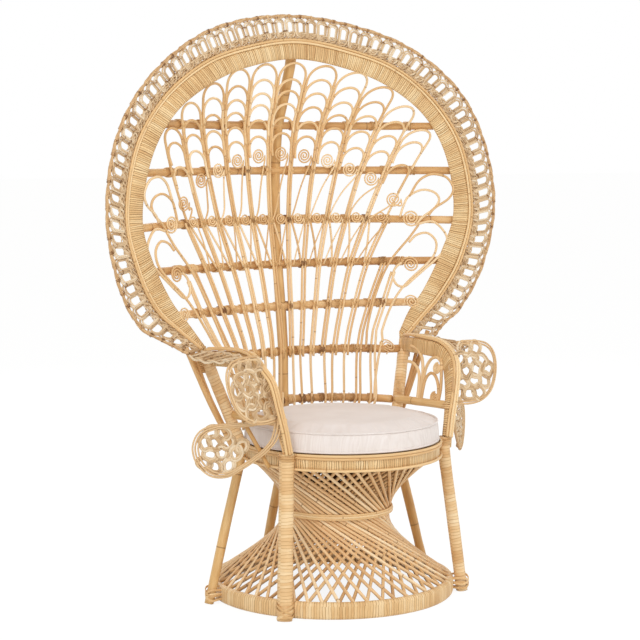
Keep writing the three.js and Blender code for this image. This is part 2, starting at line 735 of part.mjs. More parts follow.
function archColumn(column) {
  const place = Math.abs(column);
  const outwards = Math.sign(column) || 1;
  const farEdge = place === columnsEachSide ? lastEdge : place + 0.5;
  const edges = [column - 0.5, column + 0.5];
  edges[outwards > 0 ? 1 : 0] = outwards * farEdge;
  const columnWidth = edges[1] - edges[0];
  const side = (z, hand, inset) => (
    edges[(hand + 1) / 2] * fanPitch(z) - hand * (columnGap / 2 + inset)
  );
  const arc = (top, inset, skip = 0) => {
    const rise = archRiseShare * columnWidth * fanPitch(top);
    const spring = top - rise;
    const points = [];
    for (let i = 0; i <= archSteps; i += 1) {
      const angle = lerp(Math.PI - skip, skip, i / archSteps);
      const z = spring + (rise - inset) * Math.sin(angle);
      const middle = (side(z, -1, inset) + side(z, 1, inset)) / 2;
      const half = (side(z, 1, inset) - side(z, -1, inset)) / 2;
      points.push(v2(middle + half * Math.cos(angle), z));
    }
    return points;
  };
  const tops = archTopShares[place].map((share) => share * totalHeight);
  const count = tops.length;
  const heads = tops.map((top) => arc(top, 0));
  const openings = tops.map((top) => arc(top, fanCane));
  const rowTop = fanBottom + rowHeight;
  const springs = tops.map((top) => top - archRiseShare * columnWidth * fanPitch(top));
  const lowSpring = springs[count - 1];
  const railLevels = railShares.slice(0, 2).map((share) => share * totalHeight)
    .filter((z) => z < lowSpring - rowHeight);
  const stem = (hand) => [...springs.slice(1), ...railLevels].map((z) => (
    v2(side(z, hand, waist(z, fanBottom, springs[0])), z)
  ));
  const jamb = (hand) => railLevels.map((z) => (
    v2(side(z, hand, fanCane - waist(z, rowTop, lowSpring)), z)
  ));
  const outline = [
    ...heads[0], ...stem(1), v2(side(fanBottom, 1, 0), fanBottom),
    v2(side(fanBottom, -1, 0), fanBottom), ...stem(-1).reverse(),
  ];
  const holes = [];
  for (let i = 0; i + 1 < count; i += 1) {
    const skip = Math.acos(1 - (2 * fanCane) / (columnWidth * fanPitch(tops[i + 1])));
    const under = arc(tops[i + 1], 0, skip);
    holes.push([...openings[i], ...under.reverse()]);
  }
  const hasScroll = place < columnsEachSide;
  const scrollZ = hasScroll ? scrollShares[place] * totalHeight : 0;
  const centreX = (z) => column * fanPitch(z);
  const last = openings[count - 1];
  const scroll = [];
  for (let i = 0; i <= 2 * archSteps; i += 1) {
    const angle = lerp(-scrollOpenShare, 1 + scrollOpenShare, i / (2 * archSteps)) * Math.PI;
    scroll.push(v2(centreX(scrollZ) + scrollRadius * Math.cos(angle),
      scrollZ + scrollRadius * Math.sin(angle)));
  }
  const foot = (hand) => v2(centreX(rowTop) + (hand * fanCane) / 2, rowTop);
  const tongue = hasScroll ? [foot(1), ...scroll, foot(-1)] : [];
  holes.push([
    ...last, ...jamb(1), v2(side(rowTop, 1, fanCane), rowTop), ...tongue,
    v2(side(rowTop, -1, fanCane), rowTop), ...jamb(-1).reverse(),
  ]);
  return bentPlate(outline, holes, fanCane, (x, z, deep) => v3(x, fanY(x, z) + deep, z));
}

for (let column = -columnsEachSide; column <= columnsEachSide; column += 1) {
  const hand = column < 0 ? 'left' : 'right';
  const name = column === 0 ? 'fan_arch_centre' : `fan_arch_${hand}_${Math.abs(column)}`;
  add(name, cutBy(archColumn(column), [hoopBand(fit)]), rattan);
}

// Spokes: pairs of canes from the scroll row down to the seat hoop, tied by strips at two rails
const spokeCount = 8;
const tieHeight = 8;
const spokeWidth = 12;
const spokeFirst = spineRadius + spokeWidth / 2 + nailGap;
const spokePitchLow = 26;
const spokePitchHigh = 44;
const spokePitch = (z) => (
  lerp(spokePitchLow, spokePitchHigh, (z - seatRailZ) / (fanBottom - seatRailZ))
);
const spokeBottom = legClear + fit;
const spokeTop = fanBottom - fit;
const spokeLevels = [spokeBottom, seatRailZ, lowRailZ, railShares[4] * totalHeight,
  railShares[3] * totalHeight, spokeTop];

const spokeCuts = [spokeBottom, spokeBottom + tieHeight, seatRailZ, lowRailZ,
  spokeLevels[3] - tieHeight / 2, spokeLevels[3] + tieHeight / 2, spokeLevels[4],
  spokeTop - tieHeight, spokeTop];
const tieRows = [0, 4, 7];

// Plate of quads on a grid: every even column is a spoke and every tie row is filled between them
function spokes() {
  const columns = 2 * spokeCount - 1;
  const rows = spokeCuts.length - 1;
  const solid = (i, k) => (
    i >= 0 && i < columns && k >= 0 && k < rows && (i % 2 === 0 || tieRows.includes(k))
  );
  const point = (j, k, side) => {
    const z = spokeCuts[k];
    const px = spokeFirst + Math.floor(j / 2) * spokePitch(z) + ((2 * (j % 2) - 1) * spokeWidth) / 2;
    return v3(px, fanY(px, z) + (side * fanCane) / 2, z);
  };
  const flat = [];
  const quad = (...corners) => {
    [0, 1, 2, 0, 2, 3].forEach((i) => flat.push(...point(...corners[i]).toArray()));
  };
  for (let i = 0; i < columns; i += 1) {
    for (let k = 0; k < rows; k += 1) {
      if (solid(i, k)) {
        quad([i, k, 1], [i + 1, k, 1], [i + 1, k + 1, 1], [i, k + 1, 1]);
        quad([i, k, -1], [i, k + 1, -1], [i + 1, k + 1, -1], [i + 1, k, -1]);
        if (!solid(i - 1, k)) quad([i, k, 1], [i, k + 1, 1], [i, k + 1, -1], [i, k, -1]);
        if (!solid(i + 1, k)) quad([i + 1, k, 1], [i + 1, k, -1], [i + 1, k + 1, -1], [i + 1, k + 1, 1]);
        if (!solid(i, k - 1)) quad([i, k, 1], [i, k, -1], [i + 1, k, -1], [i + 1, k, 1]);
        if (!solid(i, k + 1)) quad([i, k + 1, 1], [i + 1, k + 1, 1], [i + 1, k + 1, -1], [i, k + 1, -1]);
      }
    }
  }
  const geometry = new THREE.BufferGeometry();
  geometry.setAttribute('position', new THREE.Float32BufferAttribute(flat, 3));
  return faceOutwards(geometry);
}

addPair('back_spokes', cutBy(spokes(), [rearPost(fit)]), rattan);

// Braces: plain canes from under the hoop's rim down to the side legs, outside the rear posts
const braceTopShare = 0.985;
const braceTop = rimLine.getPoint(braceTopShare);
const braceFoot = v3(sideTop.x, sideTop.y, seatTop - seatHeight / 2);
const braceTools = [hoopBand(fit), hoopBead(fit), rearPost(fit), leg(sideFoot, sideTop, sideLegRadius, fit),
  armBand(fit), borderEnvelope];
addPair('arm_brace', cutBy(tube(new THREE.LineCurve3(braceTop, braceFoot), braceRadius, 1), braceTools),
  darkCane);

// Arm border: openwork along the outside of the arm, from the hoop border to the ear
const armCells = 7;
const armBorderStart = 0.03;
const armBorderEnd = 0.52;
const armBorderInner = (t) => {
  const p = armOuterLine.getPoint(lerp(armBorderStart, armBorderEnd, t));
  const outward = armThick / 2 + nailGap + t * (postThick - armThick) / 2;
  return v3(p.x + outward, p.y, p.z + armBeadWidth / 4);
};
const armBorderShares = [[2.04, 0.37, 0.986], [2.024, 0.1, 0.959], [1.957, -0.25, 0.973],
  [1.896, -0.52, 1.014]];
const armBorderLine = armLine(armBorderShares);
const armBorder = lattice(armCells, armBorderInner, (t) => armBorderLine.getPoint(t), latticeThick);
addPair('arm_border', cutBy(armBorder, [armBand(fit), borderEnvelope, hoopBead(fit), hoopBand(fit)]), peeled);

// Ear: the front panel of knotted canes beside the front post
const earHeight = 162;
const earWidth = 145;
const earTop = 648;
const earInnerX = 272;
const earFlare = 20;
const earPetals = 6;

function oval(centre, long, short, turn, points = 6) {
  return Array.from({ length: points }, (_, i) => {
    const angle = (2 * Math.PI * i) / points;
    const p = v2(long * Math.cos(angle), short * Math.sin(angle));
    return p.rotateAround(v2(0, 0), turn).add(centre);
  });
}

const earCornerShare = 0.62;
const earTopCornerShare = 0.43;
const cornerSteps = 5;
const earPetalShares = { x: 0.56, y: 0.48, reach: 0.27, stretch: 1.25, long: 0.5, short: 0.3 };

function petals(middle, count, reach, stretch, start) {
  return Array.from({ length: count }, (_, i) => {
    const turn = (2 * Math.PI * (i + start)) / count;
    const centre = v2(middle.x + reach * Math.cos(turn), middle.y + stretch * reach * Math.sin(turn));
    return oval(centre, reach * earPetalShares.long, reach * earPetalShares.short, turn);
  });
}

function earOutline() {
  const outline = [v2(0, 0), v2(0, -earHeight)];
  [[-earHeight, 1, earCornerShare], [0, 0, earTopCornerShare]].forEach(([level, below, share]) => {
    const size = share * earWidth;
    for (let i = 0; i <= cornerSteps; i += 1) {
      const angle = (Math.PI / 2) * (i / cornerSteps - below);
      outline.push(v2(earWidth - size + size * Math.cos(angle),
        level + (below ? size : -size) + size * Math.sin(angle)));
    }
  });
  return outline;
}

const earMiddle = v2(earWidth * earPetalShares.x, -earHeight * earPetalShares.y);
const earHoles = petals(earMiddle, earPetals, earWidth * earPetalShares.reach, earPetalShares.stretch, 0.5);
const earTopY = -0.58 * hoopDepth;
const earFootY = -0.76 * hoopDepth;
const earPlate = bentPlate(earOutline(), earHoles, earThick, (u, v, deep) => (
  v3(earInnerX + u, lerp(earTopY, earFootY, -v / earHeight) - (earFlare * u) / earWidth + deep, earTop + v)
));
addPair('ear_panel', cutBy(earPlate, [armBand(fit), armBorder]), peeled);

// Lower lobe: a round openwork panel that sweeps outward and back from the front post
const lobeRadius = 66;
const lobeReach = 158;
const lobeZ = 410;
const lobeTurn = THREE.MathUtils.degToRad(44);
const neckTop = 64;
const neckLow = 6;
const neckShares = [[0.14, 0.78], [0.5, 0.62], [0.52, -0.1], [0.14, 0.14]];
const lobeRimShares = [-0.76, 0.56];
const lobeOffset = 6;
const lobePetals = 5;
const lobePetalShare = 0.55;

function lobe() {
  const rimPoints = 14;
  const outline = [];
  for (let i = 0; i <= rimPoints; i += 1) {
    const angle = Math.PI * lerp(...lobeRimShares, i / rimPoints);
    outline.push(v2(lobeReach + lobeRadius * Math.cos(angle), lobeRadius * Math.sin(angle)));
  }
  outline.push(v2(0, neckTop), v2(0, -neckLow));
  return outline;
}

const neckHole = neckShares.map(([u, v]) => v2(u * lobeReach, v * neckTop));
const lobeHoles = [...petals(v2(lobeReach, 0), lobePetals, lobeRadius * lobePetalShare, 1, 0), neckHole];
const lobeStart = v2(frontTop.x + frontLegRadius, frontTop.y - lobeOffset);
const lobePlate = bentPlate(lobe(), lobeHoles, earThick, (u, v, deep) => v3(
  lobeStart.x + u * Math.cos(lobeTurn) - deep * Math.sin(lobeTurn),
  lobeStart.y + u * Math.sin(lobeTurn) + deep * Math.cos(lobeTurn),
  lobeZ + v,
));
const seatTool = (grow) => ring([
  [0, seatBottom - grow], [seatOutside + grow, seatBottom - grow],
  [seatOutside + grow, seatTop + grow], [0, seatTop + grow],
], seatY);
addPair('lobe_panel', cutBy(lobePlate, [
  armBand(fit), leg(frontFoot, frontTop, frontLegRadius, fit), seatTool(fit), sideRail(fit), rearPost(fit),
]), peeled);

// Arm panel: a stem with arches between the side rail and the arm
const stemShares = [[-0.09, -0.06], [-0.09, 0.45]];
const stemRadius = 7;
const panelFoot = seatRailZ + sideRailRadius;
const panelX = (z) => lerp(sideRailLine.getPoint(0.5).x, armInnerLine.getPoint(0.35).x,
  (z - panelFoot) / (armTop - panelFoot));
const panelPoint = (yShare, zShare) => {
  const z = lerp(panelFoot, armTop, zShare);
  return v3(panelX(z), yShare * hoopDepth, z);
};
const panelLines = [
  [[-0.09, -0.06], [-0.09, 0.3], [-0.07, 0.45], [0.05, 0.68], [0.3, 0.74], [0.6, 0.74]],
  [[-0.09, 0.1], [-0.05, 0.3], [0.08, 0.47], [0.28, 0.52], [0.6, 0.52]],
  [[-0.09, 0.3], [-0.13, 0.5], [-0.24, 0.68], [-0.38, 0.68], [-0.48, 0.45], [-0.5, 0.3]],
  [[-0.09, 0.12], [-0.16, 0.34], [-0.27, 0.47], [-0.4, 0.42], [-0.5, 0.2], [-0.55, -0.06]],
];
const panelCanes = panelLines.map((line) => tube(
  through(line.map(([y, z]) => panelPoint(y, z))), panelCane, 6, 5,
));
const panelStem = tube(new THREE.LineCurve3(panelPoint(...stemShares[0]), panelPoint(...stemShares[1])),
  stemRadius, 1, railSides);
addPair('arm_panel', cutBy(joined([panelStem, ...panelCanes]), [
  armBand(fit), rearPost(fit), sideRail(fit), lowRail(fit),
]), rattan);

// Cushion: a round box cushion with a crown and drawn-in sides, loose on the seat
const cushionRadius = seatRadius - cushionInset;
const cushionY = seatY;
const cushionBottom = seatTop + 2 * fit;
const cushionTop = cushionBottom + cushionSide;
const cushionShares = [[0, 0], [0.97, 0], [0.995, 0.06], [0.985, 0.5], [0.995, 0.92], [0.96, 1],
  [0.8, 1.12], [0.5, 1.22]];
const cushionProfile = cushionShares.map(([r, z]) => v2(
  r * cushionRadius, cushionBottom + Math.min(z, 1) * cushionSide + (Math.max(z - 1, 0) / 0.26) * cushionCrown,
));
cushionProfile.push(v2(0, cushionTop + cushionCrown));
const cushion = new THREE.LatheGeometry(cushionProfile, ringSides);
cushion.rotateX(Math.PI / 2);
cushion.translate(0, cushionY, 0);
add('seat_cushion', faceOutwards(cushion), linen);

// The origin is on the floor under the middle of the chair's outline
const frontReach = baseY - baseRadius;
const backReach = backFoot.y + backLegRadius + bindingWall;
chair.position.y = -(frontReach + backReach) / 2;

export default chair;
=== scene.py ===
import math

import bpy
import numpy as np
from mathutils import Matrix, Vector


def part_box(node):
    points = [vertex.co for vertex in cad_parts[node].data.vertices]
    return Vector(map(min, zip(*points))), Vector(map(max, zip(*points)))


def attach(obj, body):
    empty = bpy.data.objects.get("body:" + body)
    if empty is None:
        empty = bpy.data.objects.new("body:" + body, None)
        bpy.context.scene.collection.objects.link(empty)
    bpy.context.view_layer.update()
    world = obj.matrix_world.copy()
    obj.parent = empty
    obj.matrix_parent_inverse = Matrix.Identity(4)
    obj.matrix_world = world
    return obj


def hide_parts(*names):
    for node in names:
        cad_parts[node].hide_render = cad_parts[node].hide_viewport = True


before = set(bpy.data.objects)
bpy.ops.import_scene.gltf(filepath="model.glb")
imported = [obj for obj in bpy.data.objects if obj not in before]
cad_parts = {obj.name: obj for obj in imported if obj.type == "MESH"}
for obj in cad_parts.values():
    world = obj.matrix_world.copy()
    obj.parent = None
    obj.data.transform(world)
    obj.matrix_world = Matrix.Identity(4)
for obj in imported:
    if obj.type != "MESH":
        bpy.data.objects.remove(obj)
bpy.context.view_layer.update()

# Camera
# It stands to the left of the front, well above the seat, and looks a little downwards.
scene = bpy.context.scene
camera = bpy.data.objects.new("camera", bpy.data.cameras.new("camera"))
scene.collection.objects.link(camera)
camera.location = (-2.6206, -3.8427, 1.1507)
camera.rotation_euler = (math.radians(84.560), 0, math.radians(-34.0466))
camera.data.lens = 101.25
camera.data.sensor_width = 36
scene.camera = camera


# Studio
# A pale sweep of paper that stays white behind the chair and keeps its soft shadow, four soft
# boxes and an even room.
def colour(hexcode):
    """The scene's linear colour for a paint code."""
    parts = [int(hexcode[i:i + 2], 16) / 255 for i in (0, 2, 4)]
    return tuple(c / 12.92 if c <= 0.04045 else ((c + 0.055) / 1.055) ** 2.4 for c in parts) + (1,)


def put(tree, kind, *sources, named=None, **settings):
    """Adds a node. Its inputs take sockets or values, in order (None skips one) or by name."""
    node = tree.nodes.new(kind)
    for key, value in settings.items():
        setattr(node, key, value)
    for slot, source in [*enumerate(sources), *(named or {}).items()]:
        if isinstance(source, bpy.types.NodeSocket):
            tree.links.new(source, node.inputs[slot])
        elif source is not None:
            node.inputs[slot].default_value = source
    return node


def emptied(owner):
    """The node tree of a material or world, cleared."""
    owner.use_nodes = True
    owner.node_tree.nodes.clear()
    return owner.node_tree


def seen_directly(tree):
    """1 where the camera or a mirror image looks at something, 0 for its light."""
    rays = put(tree, "ShaderNodeLightPath").outputs
    return put(tree, "ShaderNodeMath", rays["Is Camera Ray"], rays["Is Glossy Ray"],
               operation="MAXIMUM").outputs[0]


paper = bpy.data.materials.new("studio paper")
tree = emptied(paper)
share = put(tree, "ShaderNodeMath", seen_directly(tree), 0.8, operation="MULTIPLY").outputs[0]
matte = put(tree, "ShaderNodeBsdfDiffuse", colour("f2f2f0"))
glow = put(tree, "ShaderNodeEmission", (1, 1, 1, 1), 1.1)
mixed = put(tree, "ShaderNodeMixShader", share, matte.outputs[0], glow.outputs[0])
put(tree, "ShaderNodeOutputMaterial", mixed.outputs[0])

floor_half = 60.0
floor_mesh = bpy.data.meshes.new("floor")
floor_mesh.from_pydata([(x * floor_half, y * floor_half, 0) for x, y in ((-1, -1), (1, -1), (1, 1), (-1, 1))],
                       [], [(0, 1, 2, 3)])
floor_mesh.materials.append(paper)
floor = bpy.data.objects.new("floor", floor_mesh)
scene.collection.objects.link(floor)

scene.world = bpy.data.worlds.new("studio")
tree = emptied(scene.world)
room, white = (put(tree, "ShaderNodeBackground", (1, 1, 1, 1), strength) for strength in (0.62, 1.0))
mixed = put(tree, "ShaderNodeMixShader", seen_directly(tree), room.outputs[0], white.outputs[0])
put(tree, "ShaderNodeOutputWorld", mixed.outputs[0])

for name, place, size, watts in [("key light", (-2.6, -2.6, 3.2), 2.2, 74),
                                 ("low light", (-1.0, -3.6, 0.5), 1.6, 13),
                                 ("fill light", (3.2, -2.4, 1.8), 2.4, 32),
                                 ("rim light", (1.2, 3.2, 2.8), 2.2, 34)]:
    light = bpy.data.lights.new(name, "AREA")
    light.size = size
    light.energy = watts
    lamp = bpy.data.objects.new(name, light)
    lamp.location = place
    lamp.rotation_euler = (Vector((0, 0, 0.7)) - Vector(place)).to_track_quat("-Z", "Y").to_euler()
    scene.collection.objects.link(lamp)
scene.view_settings.view_transform = "Standard"


# Base ring
# A hoop of thick cane that stands on the floor, wound all round with flat rattan peel.
def unit(vectors):
    """The same directions, each of length one."""
    vectors = np.asarray(vectors, float)
    return vectors / np.linalg.norm(vectors, axis=-1, keepdims=True)


def way_along(points):
    """How far along a line each of its points lies."""
    return np.concatenate([[0], np.cumsum(np.linalg.norm(np.diff(points, axis=0), axis=1))])


def skinned(rings, around, along, length=None):
    """Strand through rings of points: its points, its faces and, for each corner of these, how far
    round and how far along it lies. With a length it is closed, and otherwise it has two caps."""
    n, m = rings.shape[:2]
    faces, corners = [], []
    for i in range(n if length else n - 1):
        nxt = (i + 1) % n
        near, far = along[i], along[nxt] if nxt else length
        for j in range(m):
            k = (j + 1) % m
            faces.append((i * m + j, i * m + k, nxt * m + k, nxt * m + j))
            corners.append(((around[j], near), (around[j + 1], near), (around[j + 1], far), (around[j], far)))
    if not length:
        faces += [tuple(range(m))[::-1], tuple(range((n - 1) * m, n * m))]
        corners += [tuple((around[j], 0) for j in range(m))[::-1],
                    tuple((around[j], along[-1]) for j in range(m))]
    return rings.reshape(-1, 3), faces, corners


def sweep(points, section, up=None, closed=False, widths=None):
    """A strand drawn along points: its section, in (side, up) pairs, turns with the line."""
    p = np.asarray(points, float)
    n = len(p)
    ahead = np.roll(p, -1, 0) - p
    back = p - np.roll(p, 1, 0)
    if not closed:
        ahead[-1] = back[-1]
        back[0] = ahead[0]
    tangent = unit(unit(ahead) + unit(back))
    if up is None:
        ups = np.zeros((n, 3))
        ups[0] = unit(np.cross(tangent[0], (0.31, 0.17, 0.93)))
        for i in range(1, n):
            ups[i] = unit(ups[i - 1] - tangent[i] * np.dot(ups[i - 1], tangent[i]))
    else:
        ups = np.broadcast_to(np.asarray(up, float), (n, 3))
        ups = unit(ups - tangent * np.sum(ups * tangent, axis=1, keepdims=True))
    section = np.asarray(section, float)
    scale = np.ones(n) if widths is None else np.asarray(widths, float)
    aside, high = (section[None, :, i, None] for i in (0, 1))
    rings = p[:, None, :] + scale[:, None, None] * (aside * np.cross(tangent, ups)[:, None, :]
                                                    + high * ups[:, None, :])
    around = way_along(np.vstack([section, section[:1]]))
    along = way_along(p)
    length = along[-1] + np.linalg.norm(p[0] - p[-1]) if closed else None
    return skinned(rings, around / around[-1], along, length)


def piece(name, strands, material, nodes=(), body="chair"):
    """One mesh object of several strands, with its winding map and a tone for each strand."""
    verts, faces, corners, tones = [], [], [], []
    dice = np.random.default_rng(len(name) * 7919 + sum(map(ord, name)))
    for points, quads, marks in strands:
        start = len(verts)
        shift = dice.random() * 3
        verts.extend(map(tuple, points))
        faces.extend(tuple(start + i for i in quad) for quad in quads)
        corners.extend(tuple((u, v + shift) for u, v in mark) for mark in marks)
        tones.extend([dice.random()] * len(points))
    mesh = bpy.data.meshes.new(name)
    mesh.from_pydata(verts, [], faces)
    winding = mesh.uv_layers.new(name="winding")
    winding.data.foreach_set("uv", [value for mark in corners for pair in mark for value in pair])
    mesh.attributes.new("tone", "FLOAT", "POINT").data.foreach_set("value", tones)
    mesh.polygons.foreach_set("use_smooth", [True] * len(mesh.polygons))
    mesh.materials.append(material)
    mesh.validate()
    obj = bpy.data.objects.new(name, mesh)
    scene.collection.objects.link(obj)
    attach(obj, body)
    if nodes:
        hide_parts(*nodes)


def rounded(width, height, corner, steps=3):
    """Section of a bar with rounded corners."""
    out = []
    for quarter, (sx, sy) in enumerate([(1, 1), (-1, 1), (-1, -1), (1, -1)]):
        for i in range(steps + 1):
            angle = math.pi / 2 * (quarter + i / steps)
            out.append((sx * (width / 2 - corner) + corner * math.cos(angle),
                        sy * (height / 2 - corner) + corner * math.sin(angle)))
    return out


def round_section(radius, sides=8):
    """Section of a round cane."""
    angles = [2 * math.pi * i / sides for i in range(sides)]
    return [(radius * math.cos(a), radius * math.sin(a)) for a in angles]


def level_ring(radius, centre_y, z, steps=128):
    """Points of a level ring."""
    angles = np.arange(steps) * 2 * np.pi / steps
    return np.stack([radius * np.cos(angles), centre_y + radius * np.sin(angles), np.full(steps, z)], 1)


def ring_strand(radius, centre_y, z, section, steps=128):
    """A strand that goes round a level ring."""
    return sweep(level_ring(radius, centre_y, z, steps), section, up=(0, 0, 1), closed=True)


def helpers(tree):
    """Short forms for one tree: a sum or function, a noise and a smooth step from 0 to 1."""
    def maths(kind, a, b=None):
        return put(tree, "ShaderNodeMath", a, b, operation=kind).outputs[0]

    def noise(at, scale, detail, **settings):
        return put(tree, "ShaderNodeTexNoise", at, named={"Scale": scale, "Detail": detail},
                   **settings).outputs[0]

    def step(value, low, high, start=0.0, end=1.0):
        return put(tree, "ShaderNodeMapRange", value, low, high, start, end,
                   interpolation_type="SMOOTHSTEP").outputs[0]

    return maths, noise, step


def new_group(name, inputs, outputs):
    """A group with these inputs and outputs, and the places round and along the winding map."""
    group = bpy.data.node_groups.new(name, "ShaderNodeTree")
    for label, value in inputs.items():
        socket = group.interface.new_socket(name=label, in_out="INPUT", socket_type="NodeSocketFloat")
        socket.default_value = value
    for label in outputs:
        group.interface.new_socket(name=label, in_out="OUTPUT", socket_type="NodeSocketFloat")
    where = put(group, "ShaderNodeUVMap", uv_map="winding").outputs[0]
    split = put(group, "ShaderNodeSeparateXYZ", where).outputs
    return group, put(group, "NodeGroupInput").outputs, split[0], split[1]


def peel_group():
    """Flat peel wound round a pole: strips with rounded backs and dark seams between them."""
    group, (width, slant, wander, seam, _), u, v = new_group(
        "wound peel", {"Strip Width": 0.006, "Slant": 0.4, "Wander": 0.5, "Seam": 0.16},
        ("Strip Tone", "Seam Mask", "Fibre", "Height"))
    maths, noise, step = helpers(group)

    def any_tone(number):
        return put(group, "ShaderNodeTexWhiteNoise", named={"W": number}, noise_dimensions="1D").outputs[0]

    strips = maths("DIVIDE", v, width)
    spot = put(group, "ShaderNodeCombineXYZ", maths("MULTIPLY", u, 2.0),
               maths("MULTIPLY", strips, 0.35)).outputs[0]
    drift = maths("SUBTRACT", noise(spot, 1.0, 1.5, noise_dimensions="2D"), 0.5)
    place = maths("ADD", maths("ADD", strips, maths("MULTIPLY", u, slant)), maths("MULTIPLY", drift, wander))
    index = maths("FLOOR", place)
    seam_tone = any_tone(maths("ADD", maths("ROUND", place), 0.37))
    to_edge = maths("SUBTRACT", 0.5, maths("ABSOLUTE", maths("SUBTRACT", maths("FRACT", place), 0.5)))
    seam_wide = maths("MULTIPLY", seam, maths("ADD", maths("MULTIPLY", seam_tone, 1.1), 0.45))
    mask = step(to_edge, 0.0, seam_wide)
    grain_at = put(group, "ShaderNodeCombineXYZ", maths("MULTIPLY", u, 5.0), maths("MULTIPLY", place, 7.0),
                   maths("MULTIPLY", index, 3.1)).outputs[0]
    grain = noise(grain_at, 1.0, 3.0)
    height = maths("ADD", maths("MULTIPLY", step(to_edge, 0.0, 0.42), 0.55), maths("MULTIPLY", mask, 0.45))
    height = maths("ADD", height, maths("MULTIPLY", grain, 0.14))
    put(group, "NodeGroupOutput", any_tone(index), mask, grain, height)
    return group


wound_peel = peel_group()


def blotch(tree, scale):
    """Slow changes of tone from place to place on the chair."""
    return helpers(tree)[1](put(tree, "ShaderNodeTexCoord").outputs["Object"], scale, 3.0)


def ramp(tree, source, places, codes):
    """A blend through paint codes at their places."""
    node = put(tree, "ShaderNodeValToRGB", source)
    band = node.color_ramp
    band.elements.new(0.5)
    for element, at, code in zip(band.elements, places, codes):
        element.position = at
        element.color = colour(code)
    return node.outputs[0]


def mix(tree, share, a, b):
    """Mixes two colours."""
    return put(tree, "ShaderNodeMix", named={0: share, 6: a, 7: b}, data_type="RGBA").outputs[2]


def finished(tree, base, height, strength, relief, surface):
    """Joins a base colour, a relief and the other inputs of the surface to a shader."""
    bump = put(tree, "ShaderNodeBump", named={"Strength": strength, "Distance": relief, "Height": height})
    shader = put(tree, "ShaderNodeBsdfPrincipled",
                 named={"Base Color": base, "Normal": bump.outputs[0], **surface})
    put(tree, "ShaderNodeOutputMaterial", shader.outputs[0])


def wound_finish(name, width, dark, mid, light, seam_colour, slant=0.4, wander=0.5, seam=0.16,
                 relief=0.0011):
    """Finish of a pole or band wound with flat peel."""
    material = bpy.data.materials.new(name)
    tree = emptied(material)
    wrap = put(tree, "ShaderNodeGroup", width, slant, wander, seam, node_tree=wound_peel)
    strip, mask, fibre, height = wrap.outputs
    tone = mix(tree, 0.25, mix(tree, 0.72, strip, blotch(tree, 12.0)), fibre)
    base = ramp(tree, tone, (0.28, 0.5, 0.7), (dark, mid, light))
    polish = put(tree, "ShaderNodeMapRange", mask, 0.0, 1.0, 0.85, 0.48).outputs[0]
    finished(tree, mix(tree, mask, colour(seam_colour), base), height, 0.75, relief,
             {"Roughness": polish, "Specular IOR Level": 0.42})
    return material


chair_shift = -0.032
base_radius, base_wall = 0.318, 0.022
base_y = 0.013 + chair_shift
base_low, base_high = (corner.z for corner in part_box("base_ring"))
base_tall = base_high - base_low
ring_wrap = wound_finish("ring winding", 0.0068, "d2a46c", "e9c48e", "f6dcb0", "ad7f4a", slant=0.15,
                         wander=0.9, seam=0.11)
piece("base_ring_winding", [ring_strand(base_radius - base_wall / 2, base_y, base_tall / 2,
                                        rounded(base_wall, base_tall, 0.009), 160)],
      ring_wrap, ["base_ring"])


# Hourglass
# Two families of thin canes that lean opposite ways run from the seat hoop through the waist to
# the base ring. The outer family is close at the waist. Three canes tie the waist.
def skin_group():
    """Round cane: fine streaks along it, joints where leaves grew, and darker patches."""
    group, (spacing, streaks, _), u, v = new_group("cane skin", {"Joint Spacing": 0.31, "Streaks": 9.0},
                                                   ("Streak", "Joint", "Patch", "Height"))
    maths, noise, step = helpers(group)
    tone = put(group, "ShaderNodeAttribute", attribute_name="tone").outputs["Fac"]
    turn = maths("MULTIPLY", u, 2 * math.pi)
    ring_x, ring_y = (maths("MULTIPLY", maths(kind, turn), streaks) for kind in ("SINE", "COSINE"))

    def place(wide, long, apart):
        along = maths("ADD", maths("MULTIPLY", v, long), maths("MULTIPLY", tone, apart))
        return put(group, "ShaderNodeCombineXYZ", maths("MULTIPLY", ring_x, wide),
                   maths("MULTIPLY", ring_y, wide), along).outputs[0]

    streak = noise(place(1.0, 14.0, 50.0), 0.45, 4.0)
    patch = noise(place(0.1, 16.0, 91.0), 1.0, 2.0)
    joint_at = maths("ADD", maths("DIVIDE", v, spacing), tone)
    off = maths("ABSOLUTE", maths("SUBTRACT", maths("FRACT", joint_at), 0.5))
    joint = step(maths("MULTIPLY", off, spacing), 0.0, 0.0028, 1.0, 0.0)
    height = maths("ADD", maths("MULTIPLY", streak, 0.5), maths("MULTIPLY", joint, 0.5))
    put(group, "NodeGroupOutput", streak, joint, patch, height)
    return group


cane_skin = skin_group()
waist_radius, waist_z = 0.138, 0.223
waist_y = -0.008 + chair_shift


